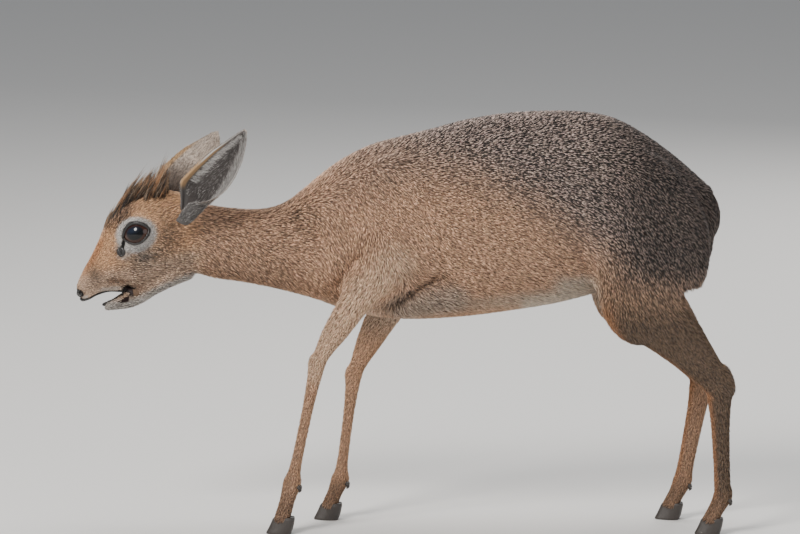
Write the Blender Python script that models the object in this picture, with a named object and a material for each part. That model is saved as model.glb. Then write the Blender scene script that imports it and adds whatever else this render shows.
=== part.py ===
"""Still, life-size model of a dik-dik, a very small antelope, creeping forward with its head low.

The animal faces -X with its left side towards -Y and its soles on z = 0. Shapes are written in
millimetres in a working frame whose x = 0 lies at the withers, and are turned into metres at the end.
The whole animal is modelled first and is then parted with thin cuts into the pieces that have names.
"""
import math
import random

import bmesh
import bpy
import numpy as np
from mathutils import Matrix, Vector

MM = 0.001
GAP = 0.3
BLOCK = 1500.0
SIDES = {"left": -1, "right": 1}

# Resolution of the two remeshed bodies, and the triangles that each keeps
BODY_VOXEL = 2.6
HEAD_VOXEL = 1.5
BODY_TRIANGLES = 4500
HEAD_TRIANGLES = 2100
RING_POINTS = 24
RINGS_PER_SPAN = 5

# Trunk and neck: upper point x, z, lower point x, z, half width, and how far the widest place lies low
TRUNK = [
    (-206.0, 287.0, -196.0, 224.5, 19.0, 0.00),
    (-182.0, 287.0, -176.0, 219.5, 21.5, 0.00),
    (-159.0, 282.0, -161.0, 215.0, 22.5, 0.00),
    (-137.5, 279.5, -144.5, 213.0, 23.0, 0.00),
    (-118.5, 279.0, -124.5, 210.0, 25.0, 0.00),
    (-100.5, 284.0, -107.5, 206.5, 28.0, 0.00),
    (-86.0, 294.5, -88.5, 202.0, 32.0, 0.02),
    (-70.5, 307.5, -70.5, 197.0, 36.0, 0.04),
    (-51.5, 321.5, -50.0, 190.0, 41.0, 0.06),
    (-26.0, 334.5, -24.0, 184.0, 46.0, 0.08),
    (0.0, 341.5, 0.0, 181.5, 51.0, 0.08),
    (26.0, 348.0, 26.0, 181.5, 56.0, 0.10),
    (56.0, 356.0, 60.0, 184.0, 61.0, 0.10),
    (90.5, 361.5, 94.5, 188.5, 64.0, 0.10),
    (124.5, 363.5, 127.5, 193.5, 62.0, 0.08),
    (155.0, 363.0, 159.0, 200.5, 56.0, 0.04),
    (182.5, 358.0, 185.0, 208.5, 51.0, 0.00),
    (206.5, 345.5, 210.5, 213.5, 46.0, -0.04),
    (230.5, 329.0, 234.0, 215.5, 41.0, -0.04),
    (252.0, 311.0, 253.5, 219.5, 33.0, 0.00),
    (266.5, 295.5, 266.5, 231.0, 22.0, 0.00),
    (273.5, 280.5, 272.5, 250.0, 9.0, 0.00),
]

# Skull and upper jaw, from the tip of the nose to the poll, as in the trunk
SKULL = [
    (-278.8, 208.5, -276.0, 199.8, 4.5, 0.00),
    (-276.6, 215.5, -270.0, 198.6, 8.6, 0.10),
    (-271.2, 227.0, -260.5, 203.8, 11.0, 0.16),
    (-265.0, 238.4, -249.5, 209.5, 13.0, 0.18),
    (-259.8, 249.2, -236.5, 208.5, 16.0, 0.16),
    (-254.8, 261.4, -221.0, 206.0, 20.0, 0.05),
    (-246.0, 275.4, -206.5, 211.0, 24.5, -0.06),
    (-232.8, 286.4, -191.0, 218.5, 27.0, -0.10),
    (-214.5, 293.0, -180.5, 223.0, 26.5, -0.05),
    (-193.5, 293.0, -169.5, 229.0, 24.0, 0.00),
    (-176.5, 287.5, -159.0, 234.5, 20.0, 0.00),
]

# Lower jaw, from the chin to the angle of the jaw, as in the trunk
JAW = [
    (-255.5, 192.5, -254.5, 189.0, 3.0, 0.00),
    (-250.0, 195.5, -247.5, 188.5, 6.2, 0.00),
    (-239.0, 201.0, -234.0, 190.0, 8.2, 0.00),
    (-230.5, 206.5, -222.0, 194.5, 10.5, 0.05),
    (-222.0, 212.0, -208.0, 203.0, 13.0, 0.00),
    (-206.5, 224.0, -191.0, 211.0, 16.0, 0.00),
    (-189.0, 231.0, -176.5, 215.5, 17.0, 0.00),
]

# Edges of the lips from the nose to the corner of the mouth: x, distance from the middle, z, radius
UPPER_LIP = [
    (-272.5, 6.0, 200.4, 1.8),
    (-267.0, 8.6, 202.4, 2.0),
    (-260.5, 10.4, 206.2, 2.1),
    (-250.0, 12.0, 209.6, 2.2),
    (-238.0, 14.5, 209.4, 2.2),
]
LOWER_LIP = [
    (-254.0, 3.0, 193.5, 1.6),
    (-247.0, 6.2, 196.0, 2.0),
    (-239.0, 9.0, 201.0, 2.2),
    (-233.0, 12.0, 206.0, 2.2),
]

# Joint centres of each leg as x, z with the distance from the middle plane
FORE_JOINTS = {
    "left": [(-4.0, 250.0, 46.0), (-70.5, 150.0, 39.0), (-92.5, 45.0, 34.0), (-102.0, 10.0, 33.5)],
    "right": [(20.0, 234.0, 46.0), (-40.0, 128.0, 39.0), (-52.0, 36.0, 35.0), (-62.0, 10.0, 34.5)],
}
HIND_JOINTS = {
    "left": [(214.0, 298.0, 34.0), (212.0, 202.0, 40.0), (273.0, 130.0, 39.0), (277.0, 34.0, 37.0),
             (266.0, 10.0, 36.5)],
    "right": [(212.0, 298.0, 34.0), (206.0, 202.0, 40.0), (264.0, 128.0, 39.0), (246.0, 34.0, 37.0),
              (235.0, 10.0, 36.5)],
}

# Girth along each leg: bone and part of its length, half depth, half width, and how far the middle of the
# flesh lies in front of the bone
FORE_GIRTHS = [
    (0.00, 28.0, 15.0, 0.0),
    (0.25, 20.5, 13.5, 2.5),
    (0.50, 15.4, 11.0, 3.5),
    (0.75, 11.2, 8.8, 2.5),
    (0.92, 7.8, 7.4, 0.9),
    (1.00, 8.2, 7.8, 0.0),
    (1.12, 6.8, 6.8, 0.0),
    (1.35, 5.4, 5.8, 0.0),
    (1.65, 5.1, 5.6, 0.0),
    (1.88, 5.6, 6.2, 0.0),
    (2.00, 8.0, 7.8, 0.0),
    (2.50, 6.8, 7.0, 0.0),
    (3.00, 7.8, 8.2, 0.0),
]
HIND_GIRTHS = [
    (0.00, 36.0, 15.0, 0.0),
    (0.30, 51.0, 21.5, 0.0),
    (0.65, 54.0, 23.5, 0.0),
    (1.00, 42.0, 19.5, 0.0),
    (1.25, 29.0, 15.5, 0.0),
    (1.50, 21.5, 12.5, 0.0),
    (1.75, 16.5, 10.0, 0.0),
    (1.92, 14.0, 9.0, 0.0),
    (2.00, 14.0, 8.8, 0.0),
    (2.12, 11.5, 8.0, 0.0),
    (2.30, 9.2, 7.4, 0.0),
    (2.60, 8.0, 6.8, 0.0),
    (2.88, 7.6, 6.8, 0.0),
    (3.00, 8.6, 8.0, 0.0),
    (3.50, 7.2, 7.2, 0.0),
    (4.00, 8.2, 8.6, 0.0),
]

# Muscles that stand out on both sides: centre x, distance from the middle, z, half length, half width,
# half height, and the tilt in the side view in degrees
MUSCLES = [
    (-12.0, 32.0, 286.0, 32.0, 12.0, 44.0, 12.0),
    (-6.0, 42.0, 251.0, 38.0, 16.5, 25.0, 6.0),
    (-44.0, 27.0, 242.0, 30.0, 17.0, 30.0, 20.0),
    (13.0, 46.0, 240.0, 20.0, 13.0, 12.0, 20.0),
    (200.0, 34.0, 290.0, 44.0, 19.0, 44.0, 20.0),
]
EAR_BASE = (12.0, 8.0, 12.0)
POINT_OF_HOCK = (5.5, 5.0, 15.0)
HOCK_BACK = 7.5
HOCK_UP = 6.0

# Eyes: centre of the left ball, radius of the ball, thickness of the lids, and the opening between them
EYE_CENTRE = (-223.0, 17.5, 258.5)
EYE_RADIUS = 14.2
LID = 1.7
EYE_AXIS = (-0.26, 0.955, 0.10)
LID_OPENING = (12.3, 9.6)
LID_SLANT = 17.0

# Ears: root, tip and the way the cup opens, each as x, distance outwards, z, and how broad the ear looks
EARS = {
    "left": ((-183.5, 20.0, 273.0), (-131.5, 52.0, 350.0), (-0.42, 0.90, 0.02), 1.0),
    "right": ((-201.0, 18.0, 278.0), (-159.0, 72.0, 334.5), (-0.12, 1.0, 0.0), 1.12),
}
EAR_WALL = 1.8
EAR_BOW = 4.0
EAR_STEPS = 12
EAR_SLICES = 10

# Halves of the ear before and behind its middle line: place along it, half width, curl in degrees
EAR_FRONT = [
    (0.0, 9.0, 48.0),
    (0.12, 13.5, 60.0),
    (0.26, 19.0, 66.0),
    (0.37, 17.5, 67.0),
    (0.53, 15.5, 62.0),
    (0.66, 13.0, 56.0),
    (0.80, 8.6, 48.0),
    (0.93, 4.2, 40.0),
    (1.0, 1.4, 38.0),
]
EAR_REAR = [
    (0.0, 8.5, 176.0),
    (0.12, 10.5, 174.0),
    (0.24, 12.0, 164.0),
    (0.34, 14.5, 114.0),
    (0.44, 17.5, 80.0),
    (0.54, 18.5, 64.0),
    (0.64, 17.6, 55.0),
    (0.78, 14.0, 46.0),
    (0.88, 9.6, 42.0),
    (0.95, 5.6, 39.0),
    (1.0, 1.4, 38.0),
]

# Crest of erect hair on the forehead
CREST_SEED = 11
CREST_LOCKS = 32
CREST_X = (-256.0, -202.0)
CREST_HALF_WIDTH = (4.5, 11.5)
CREST_LENGTH = [(0.0, 15.0), (0.15, 27.0), (0.3, 36.0), (0.47, 31.0), (0.6, 24.0), (0.7, 28.0), (0.84, 40.0),
                (1.0, 31.0)]
CREST_LEAN = [(0.0, 36.0), (0.3, 34.0), (0.47, 29.0), (0.62, 24.0), (0.84, 25.0), (1.0, 14.0)]
LOCK_WIDTH = 5.2
LOCK_THICKNESS = 2.2
LOCK_SINK = 4.0

# Hooves: two claws to a foot
CLAW_LENGTH = 21.0
CLAW_WIDTH = 7.6
CLAW_HEIGHT = 13.0
CLAW_GAP = 0.8

# A claw from above, as parts of its length and width, and its rings: height, size, and slope back
CLAW_OUTLINE = [
    (-0.62, 0.10),
    (-0.48, 0.52),
    (-0.22, 0.86),
    (0.08, 1.0),
    (0.30, 0.90),
    (0.38, 0.45),
    (0.38, 0.04),
    (0.0, 0.02),
    (-0.40, 0.02),
]
CLAW_RINGS = [(0.0, 1.0, 0.0), (0.45, 0.97, 1.6), (1.0, 0.88, 4.0)]

# False hooves: half sizes, and their place behind, beside and below the fetlock
DEWCLAW = (2.3, 2.1, 3.4)
DEWCLAW_PLACE = (7.2, 3.8, -5.0)

# Tail: centre x, z and half width, from its root to its tip
TAIL = [
    (256.0, 301.0, 7.0),
    (267.5, 292.0, 7.0),
    (275.0, 278.0, 6.2),
    (277.0, 265.0, 4.8),
    (276.0, 253.0, 1.8),
]

# Nostrils: centre of the left one with the distance outwards, and its half sizes
NOSTRIL = (-277.0, 6.6, 207.5)
NOSTRIL_SIZE = (4.0, 3.0, 2.0)

# Ovals in the side view that part the shoulders and the thighs from the trunk: centre, half sizes and
# tilt, then the distances from the middle plane between which the parts of the legs are cut out
SHOULDER_OVAL = ((-6.0, 272.0), (37.0, 58.0), 14.0)
THIGH_OVAL = ((213.0, 246.0), (73.0, 78.0), 0.0)
SHOULDER_INSIDE = 18.0
THIGH_INSIDE = 14.0
OUTSIDE = 120.0
FOREARM_MARGIN = 3.0

# Planes that part the body: a point x, z and the slope of the normal in the side view in degrees
NECK_CUT = ((-170.0, 256.0), 8.0)
CHEST_CUT = ((-80.0, 248.0), 12.0)
NOSE_CUT = ((-271.5, 205.0), 12.0)
MOUTH_CUT = ((-237.0, 208.0), 108.5)

# Colours, roughness
HIDE = ((0.42, 0.29, 0.18, 1.0), 0.85)
GRIZZLE = ((0.27, 0.22, 0.17, 1.0), 0.9)
TAN = ((0.50, 0.30, 0.16, 1.0), 0.85)
BLACK_SKIN = ((0.03, 0.026, 0.025, 1.0), 0.45)
EYE_BROWN = ((0.035, 0.018, 0.010, 1.0), 0.06)
HORN = ((0.06, 0.05, 0.045, 1.0), 0.4)


def clear_scene():
    """Removes the objects that the scene starts with."""
    for item in list(bpy.data.objects):
        bpy.data.objects.remove(item, do_unlink=True)


def new_object(name, verts, faces):
    """A mesh object from points in millimetres, with its faces pointing out."""
    mesh = bpy.data.meshes.new(name)
    mesh.from_pydata([tuple(float(value) for value in v) for v in verts], [], faces)
    mesh.validate()
    work = bmesh.new()
    work.from_mesh(mesh)
    bmesh.ops.recalc_face_normals(work, faces=work.faces)
    if work.calc_volume(signed=True) < 0:
        bmesh.ops.reverse_faces(work, faces=work.faces)
    work.to_mesh(mesh)
    work.free()
    made = bpy.data.objects.new(name, mesh)
    bpy.context.scene.collection.objects.link(made)
    return made


def remove(item):
    """Deletes a scratch object."""
    bpy.data.objects.remove(item, do_unlink=True)


def spline(rows, steps):
    """Rows of numbers resampled by a Catmull-Rom curve, with so many steps between each two rows."""
    rows = np.array(rows, float)
    padded = np.vstack([2 * rows[0] - rows[1], rows, 2 * rows[-1] - rows[-2]])
    out = []
    for index in range(len(rows) - 1):
        a, b, c, d = padded[index:index + 4]
        for step in range(steps):
            t = step / steps
            out.append(0.5 * (2 * b + (c - a) * t + (2 * a - 5 * b + 4 * c - d) * t ** 2
                              + (3 * b - a - 3 * c + d) * t ** 3))
    out.append(rows[-1])
    return np.array(out)


def skin_rings(name, rings):
    """A closed tube through rings of points, capped flat at both ends."""
    count = len(rings[0])
    verts = [point for one in rings for point in one]
    faces = []
    for r in range(len(rings) - 1):
        for k in range(count):
            n = (k + 1) % count
            faces.append((r * count + k, r * count + n, (r + 1) * count + n, (r + 1) * count + k))
    faces.append(tuple(range(count)))
    last = (len(rings) - 1) * count
    faces.append(tuple(last + k for k in range(count)))
    return new_object(name, verts, faces)


def profile_tube(name, rows):
    """A tube about the middle plane from upper and lower profile points and half widths."""
    rings = []
    for ux, uz, lx, lz, width, low in spline(rows, RINGS_PER_SPAN):
        ring = []
        for k in range(RING_POINTS):
            a = 2 * math.pi * k / RING_POINTS
            c, s = math.cos(a), math.sin(a)
            x = (ux + lx) / 2 + (ux - lx) / 2 * c
            z = (uz + lz) / 2 + (uz - lz) / 2 * c
            ring.append((x, width * s * (1 - low * c), z))
        rings.append(ring)
    return skin_rings(name, rings)


def leg_sections(joints, girths):
    """Centre, half depth and half width along a leg, from its joints and its girths."""
    joints = np.array(joints, float)
    rows = []
    for place, depth, width, bow in girths:
        bone = min(int(place), len(joints) - 2)
        centre = joints[bone] + (joints[bone + 1] - joints[bone]) * (place - bone)
        centre[0] -= bow
        rows.append((*centre, depth, width))
    return spline(rows, RINGS_PER_SPAN)


def leg_tube(name, joints, girths, side):
    """A tube along a leg, its rings square to the bone in the side view."""
    rows = leg_sections(joints, girths)
    rings = []
    for index, (x, z, y, depth, width) in enumerate(rows):
        before, after = rows[max(index - 1, 0)], rows[min(index + 1, len(rows) - 1)]
        along = Vector((after[0] - before[0], after[1] - before[1])).normalized()
        ring = []
        for k in range(RING_POINTS):
            a = 2 * math.pi * k / RING_POINTS
            c, s = math.cos(a) * depth, math.sin(a) * width
            ring.append((x + along.y * c, side * y + s, z - along.x * c))
        rings.append(ring)
    return skin_rings(name, rings)


def ellipsoid(name, centre, radii, tilt=0.0, segments=24):
    """An ellipsoid with its long axes tilted in the side view."""
    work = bmesh.new()
    bmesh.ops.create_uvsphere(work, u_segments=segments, v_segments=segments // 2, radius=1.0)
    turn = Matrix.Rotation(math.radians(tilt), 4, "Y")
    place = Matrix.Translation(centre) @ turn @ Matrix.Diagonal((*radii, 1.0))
    bmesh.ops.transform(work, matrix=place, verts=work.verts)
    verts = [tuple(v.co) for v in work.verts]
    faces = [tuple(v.index for v in f.verts) for f in work.faces]
    work.free()
    return new_object(name, verts, faces)


def joined(name, pieces):
    """One object that holds the meshes of several, which are removed."""
    work = bmesh.new()
    for piece in pieces:
        work.from_mesh(piece.data)
        remove(piece)
    mesh = bpy.data.meshes.new(name)
    work.to_mesh(mesh)
    work.free()
    made = bpy.data.objects.new(name, mesh)
    bpy.context.scene.collection.objects.link(made)
    return made


def apply_modifiers(item):
    """Replaces an object's mesh by what its modifiers make of it."""
    bpy.context.view_layer.update()
    graph = bpy.context.evaluated_depsgraph_get()
    mesh = bpy.data.meshes.new_from_object(item.evaluated_get(graph))
    item.modifiers.clear()
    item.data = mesh


def weight_group(item, name, weight):
    """A vertex group whose weight is a function of the place."""
    group = item.vertex_groups.new(name=name)
    for vertex in item.data.vertices:
        group.add([vertex.index], weight(vertex.co), "REPLACE")


def fused(item, voxel):
    """Melts overlapping shells into one closed surface."""
    remesh = item.modifiers.new("fuse", "REMESH")
    remesh.mode = "VOXEL"
    remesh.voxel_size = voxel
    apply_modifiers(item)


def smoothed(item, rounds, weight):
    """Softens a surface where the weight says so."""
    weight_group(item, "soft", weight)
    smooth = item.modifiers.new("soften", "SMOOTH")
    smooth.factor = 0.5
    smooth.iterations = rounds
    smooth.vertex_group = "soft"
    apply_modifiers(item)
    item.vertex_groups.clear()


def thinned(item, triangles):
    """Brings a surface down to about so many triangles."""
    item.data.calc_loop_triangles()
    ratio = triangles / len(item.data.loop_triangles)
    decimate = item.modifiers.new("thin", "DECIMATE")
    decimate.ratio = min(1.0, ratio)
    decimate.use_collapse_triangulate = True
    apply_modifiers(item)


def boolean(item, cutter, operation, solver="EXACT"):
    """Cuts, joins or keeps with another object, which is then removed."""
    cutter.hide_render = True
    cutter.display_type = "WIRE"
    step = item.modifiers.new("shape", "BOOLEAN")
    step.operation = operation
    step.solver = solver
    step.object = cutter
    apply_modifiers(item)
    remove(cutter)


def copied(item, name):
    """A copy of an object with its own mesh."""
    made = bpy.data.objects.new(name, item.data.copy())
    bpy.context.scene.collection.objects.link(made)
    return made


def islands(work):
    """The separate closed surfaces of a bmesh, as lists of faces."""
    left = set(work.faces)
    found = []
    while left:
        seed = left.pop()
        group = [seed]
        queue = [seed]
        while queue:
            face = queue.pop()
            for edge in face.edges:
                for other in edge.link_faces:
                    if other in left:
                        left.remove(other)
                        group.append(other)
                        queue.append(other)
        found.append(group)
    return found


def keep_island(item, chosen=None):
    """Keeps the largest closed surface of an object, among those that the test accepts."""
    work = bmesh.new()
    work.from_mesh(item.data)
    groups = islands(work)
    if chosen:
        groups = [g for g in groups if chosen(sum((f.calc_center_median() for f in g), Vector()) / len(g))]
    best = max(groups, key=lambda g: sum(f.calc_area() for f in g))
    kept = set(best)
    bmesh.ops.delete(work, geom=[f for f in work.faces if f not in kept], context="FACES")
    work.to_mesh(item.data)
    work.free()


def half_space(cut, way, gap):
    """A block that fills one side of a plane square to the side view, short of it by half a gap."""
    (x, z), slope = cut
    angle = math.radians(slope)
    work = bmesh.new()
    bmesh.ops.create_cube(work, size=1.0)
    offset = way * (BLOCK / 2 + gap / 2)
    place = (Matrix.Translation((x + offset * math.cos(angle), 0.0, z + offset * math.sin(angle)))
             @ Matrix.Rotation(-angle, 4, "Y") @ Matrix.Scale(BLOCK, 4))
    bmesh.ops.transform(work, matrix=place, verts=work.verts)
    verts = [tuple(v.co) for v in work.verts]
    faces = [tuple(v.index for v in f.verts) for f in work.faces]
    work.free()
    return new_object("half", verts, faces)


def plane_cut(item, name, cut):
    """Parts an object at a plane: it keeps the side that the normal points to, the rest is returned."""
    beyond = copied(item, name)
    boolean(item, half_space(cut, 1, GAP), "INTERSECT")
    boolean(beyond, half_space(cut, -1, GAP), "INTERSECT")
    return beyond


def prism(name, outline, near, far, side):
    """A cutter: an outline in the side view drawn out sideways from one distance to another."""
    count = len(outline)
    verts = [(x, side * near, z) for x, z in outline] + [(x, side * far, z) for x, z in outline]
    faces = [tuple(range(count)), tuple(range(count, 2 * count))]
    for k in range(count):
        n = (k + 1) % count
        faces.append((k, n, count + n, count + k))
    return new_object(name, verts, faces)


def oval(centre, radii, tilt, grow, count=40):
    """An ellipse in the side view."""
    turn = math.radians(tilt)
    points = []
    for k in range(count):
        a = 2 * math.pi * k / count
        u, v = (radii[0] + grow) * math.cos(a), (radii[1] + grow) * math.sin(a)
        points.append((centre[0] + u * math.cos(turn) + v * math.sin(turn),
                       centre[1] - u * math.sin(turn) + v * math.cos(turn)))
    return points


def ribbon(joints, girths, start, stop, grow):
    """The outline of a stretch of a leg in the side view."""
    rows = leg_sections(joints, [g for g in girths if start <= g[0] <= stop])
    front, back = [], []
    for index, (x, z, _, depth, _) in enumerate(rows):
        before, after = rows[max(index - 1, 0)], rows[min(index + 1, len(rows) - 1)]
        along = Vector((after[0] - before[0], after[1] - before[1])).normalized()
        reach = depth + grow
        front.append((x - along.y * -reach, z + along.x * -reach))
        back.append((x + along.y * -reach, z - along.x * -reach))
    return front + back[::-1]


def part_off(item, name, cutter_at):
    """Takes out of an object what lies inside a cutter, with the gap left round it."""
    piece = copied(item, name)
    boolean(piece, cutter_at(0.0), "INTERSECT")
    boolean(item, cutter_at(GAP), "DIFFERENCE")
    keep_island(piece)
    return piece


def build_body():
    """Trunk, neck and legs as one closed surface."""
    pieces = [profile_tube("trunk", TRUNK)]
    for side, sign in SIDES.items():
        pieces.append(leg_tube("fore", FORE_JOINTS[side], FORE_GIRTHS, sign))
        pieces.append(leg_tube("hind", HIND_JOINTS[side], HIND_GIRTHS, sign))
        hock = HIND_JOINTS[side][2]
        pieces.append(ellipsoid("hock", (hock[0] + HOCK_BACK, sign * hock[2], hock[1] + HOCK_UP),
                                POINT_OF_HOCK, -20.0))
        for x, y, z, length, width, height, tilt in MUSCLES:
            pieces.append(ellipsoid("muscle", (x, sign * y, z), (length, width, height), tilt))
    body = joined("body", pieces)
    fused(body, BODY_VOXEL)
    smoothed(body, 2, lambda p: 0.6)
    smoothed(body, 16, lambda p: min(1.0, max(0.0, (p.z - 170) / 50)))
    thinned(body, BODY_TRIANGLES)
    keep_island(body)
    return body


def lip_roll(name, rows, sign):
    """A round roll along one edge of the mouth."""
    rings = []
    rows = spline(rows, 3)
    for index, (x, y, z, radius) in enumerate(rows):
        before, after = rows[max(index - 1, 0)], rows[min(index + 1, len(rows) - 1)]
        step = after[:3] - before[:3]
        _, facing, across = frame_of((step[0], sign * step[1], step[2]), (0.0, 0.0, 1.0))
        centre = Vector((x, sign * y, z))
        ring = []
        for k in range(12):
            a = 2 * math.pi * k / 12
            ring.append(centre + (facing * math.cos(a) + across * math.sin(a)) * radius)
        rings.append(ring)
    return skin_rings(name, rings)


def build_head():
    """Skull, lower jaw, lips, bases of the ears and the start of the neck as one closed surface."""
    shells = [profile_tube("skull", SKULL), profile_tube("jaw", JAW), profile_tube("neck", TRUNK[:4])]
    for side, sign in SIDES.items():
        shells += [lip_roll("lip", UPPER_LIP, sign), lip_roll("lip", LOWER_LIP, sign)]
        x, y, z = EARS[side][0]
        shells.append(ellipsoid("ear_base", (x, sign * (y - 3.0), z), EAR_BASE))
    head = joined("head", shells)
    fused(head, HEAD_VOXEL)
    smoothed(head, 6, lambda p: min(1.0, max(0.3, (p.x + 262) / 40)))
    thinned(head, HEAD_TRIANGLES)
    keep_island(head)
    return head


def frame_of(axis, towards):
    """Three square directions: along an axis, as near as may be to another way, and across both."""
    along = Vector(axis).normalized()
    facing = Vector(towards)
    facing = (facing - along * facing.dot(along)).normalized()
    return along, facing, along.cross(facing)


def blend(table, t):
    """A value read from a table of places and values along a smooth curve."""
    places = [row[0] for row in table]
    t = min(max(t, places[0]), places[-1])
    span = min(max(sum(1 for place in places if place <= t) - 1, 0), len(table) - 2)
    local = (t - places[span]) / (places[span + 1] - places[span])
    values = [row[1] for row in table]
    values = [2 * values[0] - values[1]] + values + [2 * values[-1] - values[-2]]
    a, b, c, d = values[span:span + 4]
    return 0.5 * (2 * b + (c - a) * local + (2 * a - 5 * b + 4 * c - d) * local ** 2
                  + (3 * b - a - 3 * c + d) * local ** 3)


def build_ear(name, side):
    """A leaf-shaped cup: a rolled tube at its root that opens into a hollow blade."""
    sign = SIDES[side]
    root, tip, opening = (Vector((v[0], sign * v[1], v[2])) for v in EARS[side][:3])
    along, facing, across = frame_of(tip - root, opening)
    length = (tip - root).length
    outer, inner = [], []
    for i in range(EAR_STEPS + 1):
        u = i / EAR_STEPS
        spine = root + along * length * u - facing * EAR_BOW * math.sin(math.pi * u)
        for j in range(EAR_SLICES + 1):
            edge = 2 * j / EAR_SLICES - 1
            table = EAR_FRONT if edge * sign > 0 else EAR_REAR
            half = EARS[side][3] * blend([row[:2] for row in table], u)
            curl = math.radians(blend([row[::2] for row in table], u))
            radius = half / math.sin(min(curl, math.pi / 2))
            a = curl * edge
            ray = across * math.sin(a) - facing * math.cos(a)
            place = spine + facing * radius + ray * radius
            wall = EAR_WALL * (1 - 0.35 * abs(edge)) * (1 - 0.4 * u)
            outer.append(place + ray * wall / 2)
            inner.append(place - ray * wall / 2)
    row = EAR_SLICES + 1
    total = len(outer)
    faces = []
    for i in range(EAR_STEPS):
        for j in range(EAR_SLICES):
            a, b, c, d = i * row + j, i * row + j + 1, (i + 1) * row + j + 1, (i + 1) * row + j
            for shift, order in ((0, 1), (total, -1)):
                faces.append((a + shift, b + shift, c + shift)[::order])
                faces.append((a + shift, c + shift, d + shift)[::order])
        for j in (0, EAR_SLICES):
            a, d = i * row + j, (i + 1) * row + j
            faces.append((a, d, d + total, a + total))
    for i in (0, EAR_STEPS):
        for j in range(EAR_SLICES):
            a, b = i * row + j, i * row + j + 1
            faces.append((a, b, b + total, a + total))
    return new_object(name, outer + inner, faces)


def grown(item, name, reach):
    """A copy of an object with its surface moved outwards."""
    made = copied(item, name)
    normals = [v.normal.copy() for v in made.data.vertices]
    for vertex, normal in zip(made.data.vertices, normals):
        vertex.co += normal * reach
    return made


def clear_of(item, other):
    """Cuts an object clear of its neighbour, so that it meets it face to face."""
    boolean(item, grown(other, "neighbour", GAP), "DIFFERENCE")
    keep_island(item)


def eye_frame(sign):
    """The centre of an eyeball and its outward, upward and forward directions."""
    centre = Vector((EYE_CENTRE[0], sign * EYE_CENTRE[1], EYE_CENTRE[2]))
    axis = Vector((EYE_AXIS[0], sign * EYE_AXIS[1], EYE_AXIS[2])).normalized()
    slant = math.radians(LID_SLANT)
    forward = Vector((-math.cos(slant), 0.0, -math.sin(slant)))
    forward = (forward - axis * forward.dot(axis)).normalized()
    up = axis.cross(forward) * sign
    if up.z < 0:
        up = -up
    return centre, axis, up, forward


def lid_opening(sign):
    """A cutter with the almond outline between the lids, drawn out along the axis of the eye."""
    centre, axis, up, forward = eye_frame(sign)
    count = 28
    near, far = [], []
    for k in range(count):
        a = 2 * math.pi * k / count
        x = LID_OPENING[0] * math.cos(a)
        z = LID_OPENING[1] * math.sin(a) * (1 - 0.22 * math.cos(a) ** 2)
        edge = centre + forward * x + up * z
        near.append(edge + axis * EYE_RADIUS * 0.3)
        far.append(edge + axis * EYE_RADIUS * 2)
    faces = [tuple(range(count)), tuple(range(count, 2 * count))]
    faces += [(k, (k + 1) % count, count + (k + 1) % count, count + k) for k in range(count)]
    return new_object("opening", near + far, faces)


def add_lids(head):
    """Raises the lids round each eye and opens the socket behind them."""
    for sign in SIDES.values():
        centre = eye_frame(sign)[0]
        socket = EYE_RADIUS + 2 * GAP
        boolean(head, ellipsoid("lids", centre, [socket + LID] * 3, 0.0, 20), "UNION")
        boolean(head, ellipsoid("socket", centre, [socket] * 3, 0.0, 20), "DIFFERENCE")
        boolean(head, lid_opening(sign), "DIFFERENCE")


def build_eye(name, sign):
    """The ball of an eye."""
    return ellipsoid(name, eye_frame(sign)[0], [EYE_RADIUS] * 3, 0.0, 18)


def lock(root, way, flat, length, width, bend):
    """One flat tapered lock that starts below the skin and bends along its lie."""
    along, facing, across = frame_of(way, flat)
    shape = [(0.0, 0.75), (0.3, 1.0), (0.65, 0.75), (0.88, 0.4), (1.0, 0.1)]
    rings = []
    for place, part in shape:
        centre = root + along * (length * place) + across * bend * place ** 2
        half, thick = width / 2 * part, LOCK_THICKNESS / 2 * max(part, 0.3)
        rings.append([centre + across * half, centre + facing * thick,
                      centre - across * half, centre - facing * thick])
    return skin_rings("lock", rings)


def add_crest(head):
    """Fuses the crest's locks into the forehead."""
    rng = random.Random(CREST_SEED)
    locks = bpy.data.collections.new("locks")
    bpy.context.scene.collection.children.link(locks)
    for index in range(CREST_LOCKS):
        s = (index + 0.5) / CREST_LOCKS
        x = CREST_X[0] + (CREST_X[1] - CREST_X[0]) * s
        reach = CREST_HALF_WIDTH[0] + (CREST_HALF_WIDTH[1] - CREST_HALF_WIDTH[0]) * s
        y = reach * ((index % 5) / 2 - 1) + rng.uniform(-1, 1)
        hit, place, normal, _ = head.ray_cast((x, y, 400.0), (0.0, 0.0, -1.0))
        if not hit:
            continue
        lean = math.radians(blend(CREST_LEAN, s) + rng.uniform(-6, 6))
        fan = math.radians(2.4 * y + rng.uniform(-5, 5))
        way = Vector((math.sin(lean), math.sin(fan), math.cos(lean) * math.cos(fan))).normalized()
        turn = math.radians(rng.uniform(-35, 35))
        flat = Vector((math.sin(turn), math.cos(turn), 0.0))
        length = blend(CREST_LENGTH, s) * (1 - 0.3 * abs(y) / reach) * rng.uniform(0.88, 1.08)
        width = LOCK_WIDTH * rng.uniform(0.8, 1.1)
        bend = rng.uniform(-2.5, 1.5)
        made = lock(place - way * LOCK_SINK, way, flat, length + LOCK_SINK, width, bend)
        bpy.context.scene.collection.objects.unlink(made)
        locks.objects.link(made)
    step = head.modifiers.new("crest", "BOOLEAN")
    step.operation = "UNION"
    step.operand_type = "COLLECTION"
    step.collection = locks
    step.solver = "MANIFOLD"
    apply_modifiers(head)
    for made in list(locks.objects):
        remove(made)
    bpy.data.collections.remove(locks)
    keep_island(head)


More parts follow.
